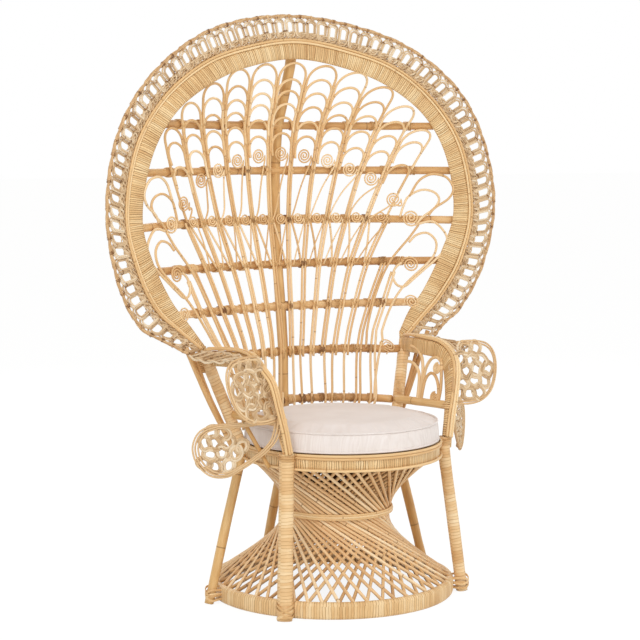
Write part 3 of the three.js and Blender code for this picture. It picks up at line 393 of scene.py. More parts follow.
def cane_finish(name, dark, mid, light, joint_colour, joint_spacing=0.31, rough=0.42, relief=0.0006,
                patches=0.35, inside=None):
    """Finish of round cane. The side that faces the middle of the chair can take painted shade in a dark colour.
    """
    material = bpy.data.materials.new(name)
    tree = emptied(material)
    skin = put(tree, "ShaderNodeGroup", joint_spacing, node_tree=cane_skin)
    streak, joint, patch, height = skin.outputs
    tone = put(tree, "ShaderNodeAttribute", attribute_name="tone").outputs["Fac"]
    shade = mix(tree, 0.28, mix(tree, patches, streak, patch), tone)
    base = ramp(tree, shade, (0.25, 0.5, 0.72), (dark, mid, light))
    joint_share = put(tree, "ShaderNodeMath", joint, 0.75, operation="MULTIPLY").outputs[0]
    base = mix(tree, joint_share, base, colour(joint_colour))
    # Painted shade: where the normal turns towards the upright line through the waist, the colour goes over to
    # the dark inside colour, standing in for the shadow inside the hourglass.
    if inside:
        away = put(tree, "ShaderNodeTexCoord").outputs["Object"]
        for kind, amount in (("SUBTRACT", (0, waist_y, 0)), ("MULTIPLY", (1, 1, 0)), ("NORMALIZE", None)):
            away = put(tree, "ShaderNodeVectorMath", away, amount, operation=kind).outputs[0]
        facing = put(tree, "ShaderNodeNewGeometry").outputs["Normal"]
        outward = put(tree, "ShaderNodeVectorMath", away, facing, operation="DOT_PRODUCT").outputs["Value"]
        lit = put(tree, "ShaderNodeMapRange", outward, -0.55, 0.0, 0.0, 1.0).outputs[0]
        base = mix(tree, lit, colour(inside), base)
    polish = put(tree, "ShaderNodeMapRange", streak, 0.2, 0.8, rough - 0.08, rough + 0.16).outputs[0]
    finished(tree, base, height, 0.5, relief, {"Roughness": polish, "Specular IOR Level": 0.45})
    return material


seat_radius = 0.253
seat_y = -0.032 + chair_shift
seat_low, seat_high = (corner.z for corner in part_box("seat_hoop"))
canes_each_way = 52
upper_twist, lower_twist = math.radians(60), math.radians(75)
weave_cane, waist_cane, inner_inset = 0.0044, 0.0029, 0.0090
# The inside colours below are painted shade for the hollow of the hourglass.
outer_cane = cane_finish("outer weave cane", "d0a06a", "efca98", "fbe4be", "94683a", inside="8a5a2c")
# The inner family's colours are darker than the outer family's as painted shade: it is the same cane, lying in
# shadow behind the outer canes.
shaded_inner_cane = cane_finish("inner weave cane", "a9784a", "d6a970", "edcb9b", "7d5230", inside="6b4118")


def leaning_cane(start, hand, inset):
    """One straight-pulled cane from the seat hoop to the waist and on to the base ring."""
    levels = [(seat_radius - 0.006 - inset, seat_y, seat_low + 0.012, 0),
              (waist_radius - inset, waist_y, waist_z, upper_twist),
              (base_radius - 0.011 - inset / 2, base_y, base_tall - 0.004, upper_twist + lower_twist)]
    top, waist, foot = (np.array([r * math.cos(start + hand * turn),
                                  y + r * math.sin(start + hand * turn), z]) for r, y, z, turn in levels)
    points = np.array([low * (1 - t) + high * t for low, high in ((top, waist), (waist, foot))
                       for t in np.arange(8) / 8] + [foot])
    eased = points.copy()
    eased[1:-1] = (points[:-2] + 2 * points[1:-1] + points[2:]) / 4
    return eased


for name, hand, inset, material, slot, node in [
        ("outer_weave_canes", 1, 0.0, outer_cane, "natural_rattan", "outer_weave"),
        ("inner_weave_canes", -1, inner_inset, shaded_inner_cane, "dark_cane", "inner_weave")]:
    dice = np.random.default_rng(11)
    shares = [(i + 0.18 * (dice.random() - 0.5)) / canes_each_way for i in range(canes_each_way)]
    strands = [sweep(leaning_cane(2 * math.pi * share, hand, inset), round_section(weave_cane))
               for share in shares]
    piece(name, strands, material, [node])

bead_cane = cane_finish("bead cane", "d3a56c", "e9c48e", "f6dcb0", "a67844", joint_spacing=0.43)
waist_rings = [(0.0052, 0.0062), (0.0, 0.0074), (-0.0050, 0.0066)]
piece("waist_canes", [ring_strand(waist_radius + out, waist_y, waist_z + lift, round_section(waist_cane, 10), 96)
                      for lift, out in waist_rings], bead_cane)


# Legs
# The two thick ones at the front are wound with peel and carry the arms. The bare poles at the
# sides carry the hoop and the one at the back carries the spine.
hands = (("right", 1), ("left", -1))


def smooth(points, steps):
    """An even curve through points."""
    p = np.asarray(points, float)
    ends = np.vstack([2 * p[0] - p[1], p, 2 * p[-1] - p[-2]])
    out = []
    for i in range(len(p) - 1):
        a, b, c, d = ends[i:i + 4]
        for t in np.arange(steps) / steps:
            out.append(0.5 * (2 * b + (c - a) * t + (2 * a - 5 * b + 4 * c - d) * t * t
                              + (3 * b - a - 3 * c + d) * t ** 3))
    return np.array(out + [p[-1]])


def on_circle(radius, centre_y, degrees):
    """Point on a level circle."""
    angle = math.radians(degrees)
    return np.array([radius * math.cos(angle), centre_y + radius * math.sin(angle)])


def on_side(points, hand):
    """The points themselves for the right side, turned over for the left."""
    return np.asarray(points, float) * (hand, 1, 1)


def strand_on_side(strand, hand):
    """The strand itself for the right side, turned over and facing outwards for the left."""
    points, faces, corners = strand
    if hand == 1:
        return strand
    return on_side(points, hand), [f[::-1] for f in faces], [c[::-1] for c in corners]


front_radius, side_radius, back_radius = 0.018, 0.0122, 0.0122
clearance = 0.0003
front_top = on_circle(seat_radius + front_radius + clearance, seat_y, -25.4)
front_foot = on_circle(base_radius + front_radius + 0.005, base_y, -35.9)
side_top = on_circle(seat_radius + side_radius + clearance, seat_y, 22.3)
side_foot = np.array([0.344, 0.062 + chair_shift])
back_top = on_circle(seat_radius + back_radius + clearance, seat_y, 90)
back_foot = np.array([0.0, 0.350 + chair_shift])


def leg_line(foot, top):
    """Middle line of a leg: straight up to the seat hoop and upright beside it."""
    points = smooth([(*foot, 0.0), (*(foot + (top - foot) * 0.5), seat_low / 2), (*top, seat_low - 0.004),
                     (*top, seat_high - clearance)], 14)
    points[:, 2] = np.clip(points[:, 2], 0.0, seat_high)
    return points


def pole(points, radius, seed, sides=16, amount=0.025):
    """A natural pole with slight swellings, cut off level where it meets the floor."""
    dice = np.random.default_rng(seed)
    knots = dice.normal(0, amount, 14)
    at = np.linspace(0, 13, len(points))
    swelling = 1 + np.clip(np.interp(at, np.arange(14), knots), -0.05, 0.03)
    skin, faces, corners = sweep(points, round_section(radius, sides), widths=swelling)
    return np.maximum(skin, (-9, -9, 0)), faces, corners


leg_wrap = wound_finish("leg winding", 0.0082, "d8aa72", "ebc692", "f7deb4", "bd8f58", slant=0.5, wander=0.8,
                        seam=0.09, relief=0.0008)
bare_pole = cane_finish("bare pole", "bd8a4c", "dcb174", "eccb95", "8d5f2f", joint_spacing=0.19, rough=0.45,
                        relief=0.001, patches=0.6)
girths = {"front_leg_right": 0.86, "front_leg_left": 1.05}
for seed, (kind, foot, top, radius, finish, slot, word) in enumerate([
        ("front", front_foot, front_top, front_radius, leg_wrap, "wrapped_rattan", "winding"),
        ("side", side_foot, side_top, side_radius, bare_pole, "natural_rattan", "pole")]):
    for side, hand in hands:
        node = f"{kind}_leg_{side}"
        piece(f"{node}_{word}", [pole(on_side(leg_line(foot, top), hand), radius * girths.get(node, 1.0),
                                      seed + len(side), 20)], finish, [node])
piece("back_leg_pole", [pole(leg_line(back_foot, back_top), back_radius, 5, 20)], bare_pole,
      ["back_leg"])


# Foot lashings
# Four crossed turns of peel tie each foot to the base ring.
lashing_peel = cane_finish("lashing peel", "c99b62", "e2b982", "f1d3a2", "976b3b", joint_spacing=5.0)
foot_peel = rounded(0.0018, 0.0058, 0.0007, 2)
tie_level, tie_tilt, peel_gap = 0.023, 0.011, 0.0016


def lashing(centre, along, radii, turns, pitch, seed=0):
    """Turns of flat peel wound round something: centre and along give its axis, radii its half
    widths in the two directions across it."""
    axis = unit(along)
    first = unit(np.cross(axis, (0.02, 0.03, 1.0) if abs(axis[2]) < 0.9 else (1.0, 0.0, 0.05)))
    second = np.cross(axis, first)
    angle = np.linspace(0, 2 * np.pi * turns, int(14 * turns) + 1) + seed
    return (np.asarray(centre, float) + np.outer(np.cos(angle) * radii[0], first)
            + np.outer(np.sin(angle) * radii[1], second)
            + np.outer((angle - angle.mean()) / (2 * np.pi) * pitch, axis))


for kind, base, top, radius in [("front", front_foot, front_top, front_radius),
                                ("side", side_foot, side_top, side_radius),
                                ("back", back_foot, back_top, back_radius)]:
    foot = base + (top - base) * tie_level / seat_low
    inward = np.array([0, base_y]) - foot
    reach = np.linalg.norm(inward) - base_radius + base_wall
    inward = unit(inward)
    inner = foot + inward * (reach + 0.0018)
    across = np.array([-inward[1], inward[0]])
    strands = []
    for number, level in enumerate((0.015, 0.020, 0.0255, 0.031)):
        half = radius + peel_gap + 0.0008 * (number % 2)
        angles = math.pi * np.arange(12) / 11 - math.pi / 2
        loop = [foot - inward * half * math.cos(a) + across * half * math.sin(a) for a in angles]
        loop += [inner + across * half * 0.55, inner - across * half * 0.55]
        tilt = tie_tilt * (-1) ** number
        points = np.array([(*p, level + tilt * np.dot(p - foot, across) / half) for p in loop])
        strands.append(sweep(points, foot_peel, up=(0, 0, 1), closed=True))
    for side, hand in hands if kind != "back" else [("", 1)]:
        name = f"{kind}_foot_binding" + (f"_{side}" if side else "")
        piece(f"{name}_peel", [strand_on_side(s, hand) for s in strands], lashing_peel, [name])


# Seat hoop
# A wide hoop wound with upright strips of peel, edged by one round cane below and two above.
hoop_wall = 0.017
hoop_wrap = wound_finish("seat hoop winding", 0.0058, "cda16a", "e6c28c", "f4daac", "8d612f", slant=0.02,
                         wander=1.0, seam=0.17)
hoop_section = rounded(hoop_wall, seat_high - seat_low - 0.006, 0.004, 2)
piece("seat_hoop_winding", [ring_strand(seat_radius - hoop_wall / 2, seat_y, (seat_low + seat_high) / 2,
                                        hoop_section, 144)], hoop_wrap, ["seat_hoop"])
seat_edge = 0.0035
edge_levels = [(seat_low + seat_edge, 0.0), (seat_high - seat_edge, 0.0), (seat_high - 3 * seat_edge, -0.001)]
piece("seat_hoop_canes", [ring_strand(seat_radius + seat_edge + out, seat_y, z,
                                      round_section(seat_edge, 10), 144) for z, out in edge_levels],
      bead_cane)
# The seat bar takes the inner weave cane, with its darker colours of painted shade.
for node, finish in (("seat_panel", lashing_peel), ("seat_bar", shaded_inner_cane)):
    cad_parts[node].data.materials.clear()
    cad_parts[node].data.materials.append(finish)


# Hoop of the back
# A wide flat band, wound across with narrow peel, rises from the rear posts round the top of the
# back. Four round canes edge it, two in front and two behind, and an openwork border of looped
# cane stands outside them.
total_height = 1.5
hoop_half, hoop_depth = 0.608, 0.200
inner_shares = [(0, .875, .9227), (.243, .805, .908), (.447, .72, .8787), (.638, .665, .8267),
                (.758, .64, .752), (.804, .645, .6527), (.748, .695, .5787), (.658, .72, .512),
                (.575, .735, .4713), (.512, .70, .434)]
bead_shares = [(0, .9, .9553), (.271, .825, .9387), (.502, .74, .908), (.707, .685, .8467),
               (.84, .625, .7653), (.89, .595, .6533), (.831, .61, .5633), (.737, .675, .5007),
               (.633, .67, .4613), (.53, .64, .4267)]
rim_shares = [(0, .945, 1), (.309, .865, .9853), (.567, .675, .948), (.801, .55, .8773), (.944, .51, .7853),
              (1, .465, .6667), (.949, .51, .5533), (.842, .575, .4753), (.724, .515, .4453),
              (.645, .4, .4267)]


def from_shares(shares):
    """Points given as shares of the hoop's half width, its depth and the chair's height."""
    return np.array(shares) * (hoop_half, hoop_depth, total_height) + (0, chair_shift, 0)


def hoop_line(shares):
    """Left foot to right foot of a line round the hoop."""
    right = from_shares(shares)
    return smooth(np.vstack([on_side(right[:0:-1], -1), right]), 24)


inner_line, bead_line, rim_line = (hoop_line(s) for s in (inner_shares, bead_shares, rim_shares))
bead_inset = 0.0072 * np.sin(np.linspace(0, np.pi, len(bead_line))) ** 0.4
bead_line = bead_line + unit(inner_line - bead_line) * bead_inset[:, None]
station_way = way_along((bead_line + rim_line) / 2)
station_way /= station_way[-1]


def at_ways(line, ways, line_ways):
    """Points of a line at shares of the way along it."""
    return np.stack([np.interp(ways, line_ways, line[:, axis]) for axis in range(3)], 1)


def border(ways, out, lift=0.0):
    """Points between the bead line (0) and the rim (1), lifted square to the border."""
    ways, out = np.broadcast_arrays(np.asarray(ways, float), np.asarray(out, float))
    low, high = at_ways(bead_line, ways, station_way), at_ways(rim_line, ways, station_way)
    ahead = (at_ways(bead_line, np.minimum(ways + 0.004, 1), station_way)
             - at_ways(bead_line, np.maximum(ways - 0.004, 0), station_way))
    face = unit(np.cross(high - low, ahead))
    face *= np.where(face[:, 1:2] > 0, -1, 1)
    return low + (high - low) * out[:, None] + face * np.asarray(lift, float).reshape(-1, 1)


def band(low_line, high_line, thickness, corners, face=None, edge=0.0):
    """A flat band between two lines, as one strand wound across. The powers say how square it is."""
    middle = (low_line + high_line) / 2
    half = np.linalg.norm(high_line - low_line, axis=1) / 2 - edge
    across = unit(high_line - low_line)
    if face is None:
        face = unit(np.cross(unit(np.gradient(middle, axis=0)), across))
    section = np.array(rounded(2, 2, 0.999, 5))
    section = np.sign(section) * np.abs(section) ** corners
    rings = (middle[:, None] + section[None, :, 0, None] * half[:, None, None] * across[:, None]
             + section[None, :, 1, None] * thickness / 2 * face[:, None])
    return skinned(rings, np.arange(len(section) + 1) / len(section), way_along(middle))


band_thick = 0.012
band_wrap = wound_finish("hoop winding", 0.0052, "cda069", "e4be87", "f2d6a6", "85592c", slant=0.0,
                         wander=1.3, seam=0.17)
foot_inner_shares = [(.512, .70, .434), (.511, .69, .420), (.510, .67, .404), (.507, .65, .388)]
foot_outer_shares = [(.529, .642, .4268), (.540, .64, .417), (.551, .62, .402), (.551, .62, .388)]
foot_band = band(*(smooth(from_shares(shares), 6) for shares in (foot_inner_shares, foot_outer_shares)),
                 band_thick * 1.6, (0.7, 1))
wide_band = band(inner_line, inner_line + (bead_line - inner_line) * 0.985, band_thick, (0.55, 1))
piece("hoop_band_winding", [wide_band] + [strand_on_side(foot_band, hand) for side, hand in hands],
      band_wrap, ["hoop_band"])
hoop_bead, rim_radius = 0.0034, 0.0026
bead_places = [(0.030, 0.0035), (0.118, 0.0042), (0.035, -0.0045), (0.105, -0.0045)]
piece("hoop_bead_canes", [sweep(border(np.linspace(0, 1, 340), share, lift), round_section(hoop_bead))
                          for share, lift in bead_places], bead_cane, ["hoop_bead"])


# Openwork border
# A chain of tall loops of doubled flat cane, each crossed with its neighbours, stands on a braid
# that is bound to the bead. The rim is made of thin canes, tied to the top of every loop.
def open_finish(name, dark, mid, light):
    """Finish of scraped cane, which is matt and a little grey."""
    return cane_finish(name, dark, mid, light, "8f6c40", joint_spacing=4.0, rough=0.62, relief=0.0005,
                       patches=0.5)


loop_cane = open_finish("scraped loop cane", "ad8558", "d9bc94", "efdec2")
rim_cane = open_finish("rim cane", "b5885a", "d8b383", "ecd0a6")
# Dark peel for the dark ties, and for the small knots of painted shade in the border.
dark_peel_and_shade = cane_finish("dark tie peel", "6b4524", "94663a", "bd9159", "55371b", joint_spacing=5.0)
loops = 78
loop_peel = rounded(0.0050, 0.0028, 0.0012, 2)
braid_peel = rounded(0.0046, 0.0028, 0.0012, 2)
wide_loop = [(-.36, .24), (-.44, .34), (-.445, .58), (-.465, .74), (-.40, .80), (-.24, .835), (0, .845)]
slim_loop = [(-.30, .30), (-.33, .38), (-.33, .54), (-.33, .67), (-.28, .735), (-.15, .765), (0, .775)]


def flat_loop(points):
    """A closed loop of flat cane that faces square to its own plane."""
    face = np.cross(points[len(points) // 4] - points[0], points[len(points) // 2] - points[0])
    return sweep(points, loop_peel, up=face, closed=True)


strands = []
pitch = 1 / loops
dice = np.random.default_rng(21)
for i in range(loops):
    place, jog = (i + 0.5) * pitch, 0.010 * dice.normal()
    for half, lift in ((wide_loop, 0.0), (slim_loop, 0.0010)):
        ring = smooth(half + [(-x, z) for x, z in half[-2::-1]] + half[:1], 3)[:-1]
        swing = 0.0030 * np.clip(-ring[:, 0] / 0.3, -1, 1)
        strands.append(flat_loop(border(np.clip(place + ring[:, 0] * pitch, 0, 1),
                                        ring[:, 1] + jog * (ring[:, 1] > 0.4), swing + lift)))
piece("border_loops", strands, loop_cane, ["rim_lattice"])

wave = np.linspace(0.0, 1, loops * 9)
turn = 2 * np.pi * wave * loops
strands = []
braids = [(0.205, 0.0, 0.030), (0.205, 0.5, 0.030), (0.290, 0.25, 0.028), (0.290, 0.75, 0.028),
          (0.370, 0.1, 0.024), (0.370, 0.6, 0.024), (0.885, 0.25, 0.034)]
for share, phase, sway in braids:
    swing = turn + 2 * np.pi * phase
    points = border(wave, share + sway * np.sin(swing), 0.0006 + 0.0030 * np.cos(swing))
    strands.append(sweep(points, braid_peel))
for i in range(loops * 2):
    place = np.clip((i + 0.5) * pitch / 2, 0.002, 0.998)
    if dice.random() < 0.6:
        points = border(place + pitch * np.array([-0.12, -0.05, 0.05, 0.12]), [0.17, 0.24, 0.32, 0.39],
                        [-0.002, 0.0045, 0.0048, -0.001])
        strands.append(sweep(smooth(points, 3), braid_peel))
piece("border_braid", strands, loop_cane)

piece("border_rim_canes", [
    sweep(border(wave, share + 0.020 * np.sin(turn / 2 + phase), 0.0020 * np.cos(turn / 2 + phase)),
          round_section(rim_radius)) for share, phase in ((0.955, 0.0), (0.955, np.pi), (0.965, np.pi / 2))],
      rim_cane)


def border_spot(way, share):
    """One point of the border."""
    return border([np.clip(way, 0, 1)], [share])[0]


rim_tie, shade_knot_section = rounded(0.0024, 0.0011, 0.0004, 1), rounded(0.0020, 0.0010, 0.0004, 1)
light_turns, dark_ties_and_shade_knots = [], []
for i in range(loops):
    place = (i + 0.5) * pitch
    middle = (border_spot(place, 0.88) + border_spot(place, 1.0)) / 2
    ahead = border_spot(place + 0.002, 0.94) - border_spot(place - 0.002, 0.94)
    turns = lashing(middle, ahead, (0.0046, 0.0052), 2.2, 0.0030, dice.random() * 6)
    choice = dark_ties_and_shade_knots if dice.random() < 0.4 else light_turns
    choice.append(sweep(turns, rim_tie))
    between = place + pitch / 2
    # Painted shade: at some gaps between loops, small knots of dark peel at the foot and the top of the holes
    # stand for the shadow in the holes.
    for share in (0.43, 0.72):
        if dice.random() < 0.45:
            spot, above = border_spot(between, share), border_spot(between, share + 0.1)
            knot = lashing(spot, above - spot, (0.0085, 0.0058), 1.3, 0.0016, dice.random() * 6)
            dark_ties_and_shade_knots.append(sweep(knot, shade_knot_section))
piece("border_rim_ties_light", light_turns, rim_cane)
piece("border_rim_ties_dark", dark_ties_and_shade_knots, dark_peel_and_shade)


# Spine
# The middle pole of the back. It stands on the back leg, passes behind the rails and ends behind
# the top of the hoop.
spine_radius, rail_radius, fan_cane = 0.015, 0.0105, 0.0035
spine_shares = [(.3173, 1.225), (.4047, 1.225), (.4853, 1.29), (.5607, 1.365), (.6467, 1.425), (.7233, 1.425),
                (.808, 1.355), (.9187, 1.02), (.9227, 1.015), (.95, 1.02)]
spine_knots = np.vstack([(seat_high + clearance, back_top[1]),
                         np.array(spine_shares) * (total_height, hoop_depth) + (0, chair_shift)])
spine_heights = np.linspace(spine_knots[0, 0], spine_knots[-1, 0], 90)
spine_depths = np.interp(spine_heights, spine_knots[:, 0], spine_knots[:, 1])
for _ in range(6):
    spine_depths[1:-1] = (spine_depths[:-2] + 2 * spine_depths[1:-1] + spine_depths[2:]) / 4
spine_line = np.stack([np.zeros(90), spine_depths, spine_heights], 1)
piece("spine_pole", [pole(spine_line, spine_radius - 0.001, 9)], bare_pole, ["spine"])


# Rails of the back
# Six bent poles with their bark on, nailed behind the canes of the back, and one more behind the
# cushion.
right_side = inner_line[:len(inner_line) // 2 - 1:-1]
hoop_foot = inner_line[-1, 2]
seat_rail_z = 0.476
cane_to_rail = fan_cane + rail_radius + 0.0012


def band_edge(z):
    """How far out and how far back the inner edge of the band lies at a height."""
    return (np.interp(z, right_side[:, 2], right_side[:, axis]) for axis in (0, 1))


def spine_depth(z):
    """How far back the middle of the spine lies at a height."""
    return np.interp(z, spine_knots[:, 0], spine_knots[:, 1])


seat_rail_radius = spine_depth(seat_rail_z) - 0.006 - seat_y
seat_fan_radius = seat_rail_radius - cane_to_rail


def fan_depth(x, z):
    """How far back the canes of the back lie at a point of the back."""
    x, z = np.broadcast_arrays(np.asarray(x, float), np.asarray(z, float))
    level = np.maximum(z, hoop_foot)
    edge_x, edge_y = band_edge(level)
    centre = spine_depth(level) - cane_to_rail - 0.006
    upper = centre - (centre - edge_y - 0.0025) * (x / edge_x) ** 2
    share = np.clip((hoop_foot - z) / (hoop_foot - seat_rail_z), 0, 1)
    on_seat = seat_y + np.sqrt(np.maximum(seat_fan_radius ** 2 - x * x, 0))
    return np.where(z >= hoop_foot, upper, upper * (1 - share) + on_seat * share)


def on_fan(points, lift=0.0):
    """Points (x, z) of the back in space, lifted a little towards the sitter."""
    p = np.asarray(points, float)
    return np.stack([p[:, 0], fan_depth(p[:, 0], p[:, 1]) - lift, p[:, 1]], 1)


def rail_line(z, rise):
    """Middle line of a rail from band to band, behind the canes."""
    edge_x, edge_y = band_edge(z)
    x = np.linspace(-edge_x, edge_x, 60)
    share = np.abs(x) / edge_x
    y = fan_depth(x, z) + cane_to_rail + 0.002 * share
    behind = edge_y + band_thick / 2 + rail_radius + 0.0024
    y = y + np.maximum(behind - y[-1], 0) * share ** 4
    line = np.stack([x, y, z + rise * (1 - share ** 2)], 1)
    end = line[-1] + (0.016, (line[-1, 1] - line[-2, 1]) * 0.6, 0)
    return np.vstack([on_side(end, -1), line, end])


rail_cane = cane_finish("rail pole", "b98550", "d9ab70", "edc997", "7d5229", joint_spacing=0.23, rough=0.45,
                        relief=0.0012, patches=0.6)
rail_shares = {1: (0.808, 0.0), 2: (0.7267, 0.002), 3: (0.6353, 0.007), 4: (0.5607, 0.0), 5: (0.4853, 0.0)}
rail_lines = {number: rail_line(share * total_height, rise) for number, (share, rise) in rail_shares.items()}
low_rail_z = 0.4047 * total_height
rear_top = np.array([0.523 * hoop_half, 0.62 * hoop_depth + chair_shift, 0.43 * total_height])
low_reach = side_top[0] + (rear_top[0] - side_top[0]) * (low_rail_z - seat_high) / (rear_top[2] - seat_high)
x = np.linspace(-low_reach + 0.010, low_reach - 0.010, 60)
rail_lines[6] = np.stack([x, fan_depth(x, low_rail_z) + cane_to_rail, np.full(60, low_rail_z)], 1)
for number, line in rail_lines.items():
    piece(f"back_rail_{number}_pole", [pole(line, rail_radius, 20 + number, 14, 0.03)], rail_cane,
          [f"back_rail_{number}"])
reach = math.acos(0.015 / seat_rail_radius) - math.radians(22.3)
angle = np.linspace(math.pi / 2 + reach, math.pi / 2 - reach, 60)
rail_lines[7] = np.stack([seat_rail_radius * np.cos(angle), seat_y + seat_rail_radius * np.sin(angle),
                          np.full(60, seat_rail_z)], 1)
piece("seat_rail_pole", [sweep(rail_lines[7], round_section(rail_radius, 14))], rail_cane,
      ["seat_rail"])


# Arched canes of the back
# Thirteen columns of bent cane fan out from below the seat. In each column the highest arch runs
# down both sides and the lower ones are nailed to its legs, one under the other.
fan_finish = cane_finish("fan cane", "d0a169", "e6c08b", "f5dab0", "a07343", rough=0.4, patches=0.45)
fan_focus = 0.1853 * total_height
column_spread = 0.2097 * hoop_half / total_height
arch_rise = 0.42
arch_tops = [(.9165, .8873, .8687, .8453, .822, .7933), (.9125, .8867, .8633, .8413, .816, .788),
             (.902, .8747, .8507, .828, .8027, .7787), (.877, .8507, .8247, .7973, .7693),
             (.8435, .8153, .79, .7627), (.801, .7773, .7353)]
third_rail_z, fourth_rail_z = 0.960, 0.839
cane_radius = 0.0034
fan_bits = {column: [] for column in range(-6, 7)}


def cane(points, lift, radius=cane_radius, hand=1):
    """A round cane along points of the back."""
    return sweep(on_fan(np.asarray(points) * (hand, 1), lift), round_section(radius))


def pitch_at(z):
    """Width of one column of the fan at a height."""
    return column_spread * (np.asarray(z, float) - fan_focus)


def arch(column, top, inset, tails):
    """An arch of a column with its two legs, as points of the back."""
    spring = top - arch_rise * pitch_at(top)
    angle = np.linspace(math.pi, 0, 19)
    heights = [np.linspace(spring - tails[0], spring, 8)[:-1], spring + (top - spring) * np.sin(angle),
               np.linspace(spring, spring - tails[1], 8)[1:]]
    shares = [-1, np.cos(angle), 1]
    return np.vstack([np.stack([column * pitch_at(z) + share * (pitch_at(z) / 2 - inset), z], 1)
                      for z, share in zip(heights, shares)])


dice = np.random.default_rng(4)
for column in range(-5, 6):
    for rank, share in enumerate(arch_tops[abs(column)]):
        top = share * total_height
        if rank == 0:
            spring = top - arch_rise * pitch_at(top)
            line = arch(column, top, cane_radius + 0.0004, [spring - third_rail_z + 0.012] * 2)
            fan_bits[column].append(cane(line, np.zeros(len(line))))
            continue
        wobble = dice.normal(0, 0.0012)
        tails = [0.020 + 0.01 * dice.random(), 0.034 + 0.014 * dice.random()]
        line = arch(column, top + wobble, cane_radius + 0.0016 + 0.0004 * rank, tails)
        ends = np.minimum(np.arange(len(line)), np.arange(len(line))[::-1]) / 5
        lift = 0.0022 + 0.0004 * rank + 0.0035 * np.clip(1 - ends, 0, 1) * (1 if rank % 2 else -0.4)
        fan_bits[column].append(cane(line, lift))

outer_arches = [[(.352, .962), (.362, .995), (.375, 1.020), (.408, 1.037), (.440, 1.030), (.453, 1.009),
                 (.440, .985), (.412, .962), (.392, .940)],
                [(.375, 1.020), (.395, 1.059), (.418, 1.077), (.440, 1.080), (.468, 1.070), (.485, 1.040),
                 (.474, 1.012), (.441, .987), (.425, .966)]]
for side, hand in hands:
    fan_bits[6 * hand] = [cane(smooth(knots, 6), 0.001 + 0.003 * number, hand=hand)
                          for number, knots in enumerate(outer_arches)]


# Scrolls
# Two rows of flat coils, one under the arches and one along the third rail. Each coil is the end
# of a long cane, which leaves it on the right and runs down to the left.
def coil(centre, radius, turns, start=0.0):
    """A flat coil as points of the back, from its middle to its outside."""
    angle = np.linspace(0, 2 * math.pi * turns, int(turns * 16)) + start - 2 * math.pi * turns
    size = radius * (0.10 + 0.90 * np.linspace(0, 1, len(angle)))
    return np.stack([centre[0] + size * np.cos(angle), centre[1] + size * np.sin(angle)], 1)


def between(number, z):
    """Where two columns meet at a height."""
    return (number + 0.5) * np.interp(z, [fourth_rail_z, third_rail_z, 2.0], [0.0465, 0.058, 0.148])


scroll_shares = [.7587, .7547, .746, .73, .7133, .6853]
high_scroll, low_scroll = 0.0022, 0.0020
low_coils = [0.0, 0.056, 0.1145, 0.171, 0.2295, 0.298]
for column in range(-5, 6):
    z = scroll_shares[abs(column)] * total_height
    x = column * pitch_at(z)
    if abs(column) == 5:
        x, z = math.copysign(0.332, column), 1.012
    size = 0.0205
    end = np.array([between(column - 1, third_rail_z) + 0.005, third_rail_z])
    outside = np.array([x + size, z])
    foot = end + ((0.045, 0.026) if column == 5 else (0.012, 0.030))
    tail = smooth([outside, outside + (0, -0.018), foot + (outside - foot) * 0.42, foot, end], 6)
    fan_bits[column].append(cane(np.vstack([coil((x, z), size, 2.7)[:-1], tail]), 0.0045, high_scroll))

for column in range(-5, 6):
    x, z, size = math.copysign(low_coils[abs(column)], column), third_rail_z + 0.004, 0.0160
    end = np.array([between(column - 1, fourth_rail_z) + 0.011, fourth_rail_z])
    outside = np.array([x + size, z])
    tail = smooth([outside, outside + (0.001, -0.014), end + (outside - end) * 0.5 + (0.002, 0), end], 6)
    fan_bits[column].append(cane(np.vstack([coil((x, z), size, 2.3)[:-1], tail]), 0.0050, low_scroll))
    begin = np.array([between(column - 1, third_rail_z) + 0.009, third_rail_z])
    finish_at = np.array([between(column, fourth_rail_z) - 0.008, fourth_rail_z])
    half_way = (begin + finish_at) / 2 + (0.003 * (1 if column > 0 else 0.3), 0)
    fan_bits[column].append(cane(smooth([begin, half_way, finish_at], 8), -0.0005, 0.0029))
for column, bits in fan_bits.items():
    node = "fan_arch_centre" if column == 0 else f"fan_arch_{'right' if column > 0 else 'left'}_{abs(column)}"
    piece(f"{node}_canes", bits, fan_finish, [node])


# Lower canes of the back
# Eight pairs of canes on each side run on from the arches to the seat. The outermost ones bend
# into loops and hairpins beside the band, and coils end the rails.
pair_heights = [third_rail_z, fourth_rail_z, 0.728, 0.607, 0.476, 0.425]
pair_ends = [.017, .049, .077, .104, .128, .155, .180, .208]
pair_spacing = [0.058, 0.0465, 0.0385, 0.031]
spokes = {hand: [] for side, hand in hands}
for hand, bits in spokes.items():
    for number, end in enumerate(pair_ends):
        xs = [spacing * (number + 0.5) for spacing in pair_spacing] + [end, end * 0.94]
        knots = np.stack([xs, pair_heights], 1)[1 if number > 5 else 0:]
        if number == 7:
            knots[0] = (0.325, 0.812)
        for twin in (-1, 1):
            line = smooth(knots + (twin * (cane_radius + 0.0003 + 0.0006 * dice.random()), 0), 8)
            if twin == (1 if number % 3 else -1) and number < 6:
                line = line[line[:, 1] > 0.607 - 0.026 - 0.006 * dice.random()]
            bits.append(cane(line, 0.0004 * twin, hand=hand))

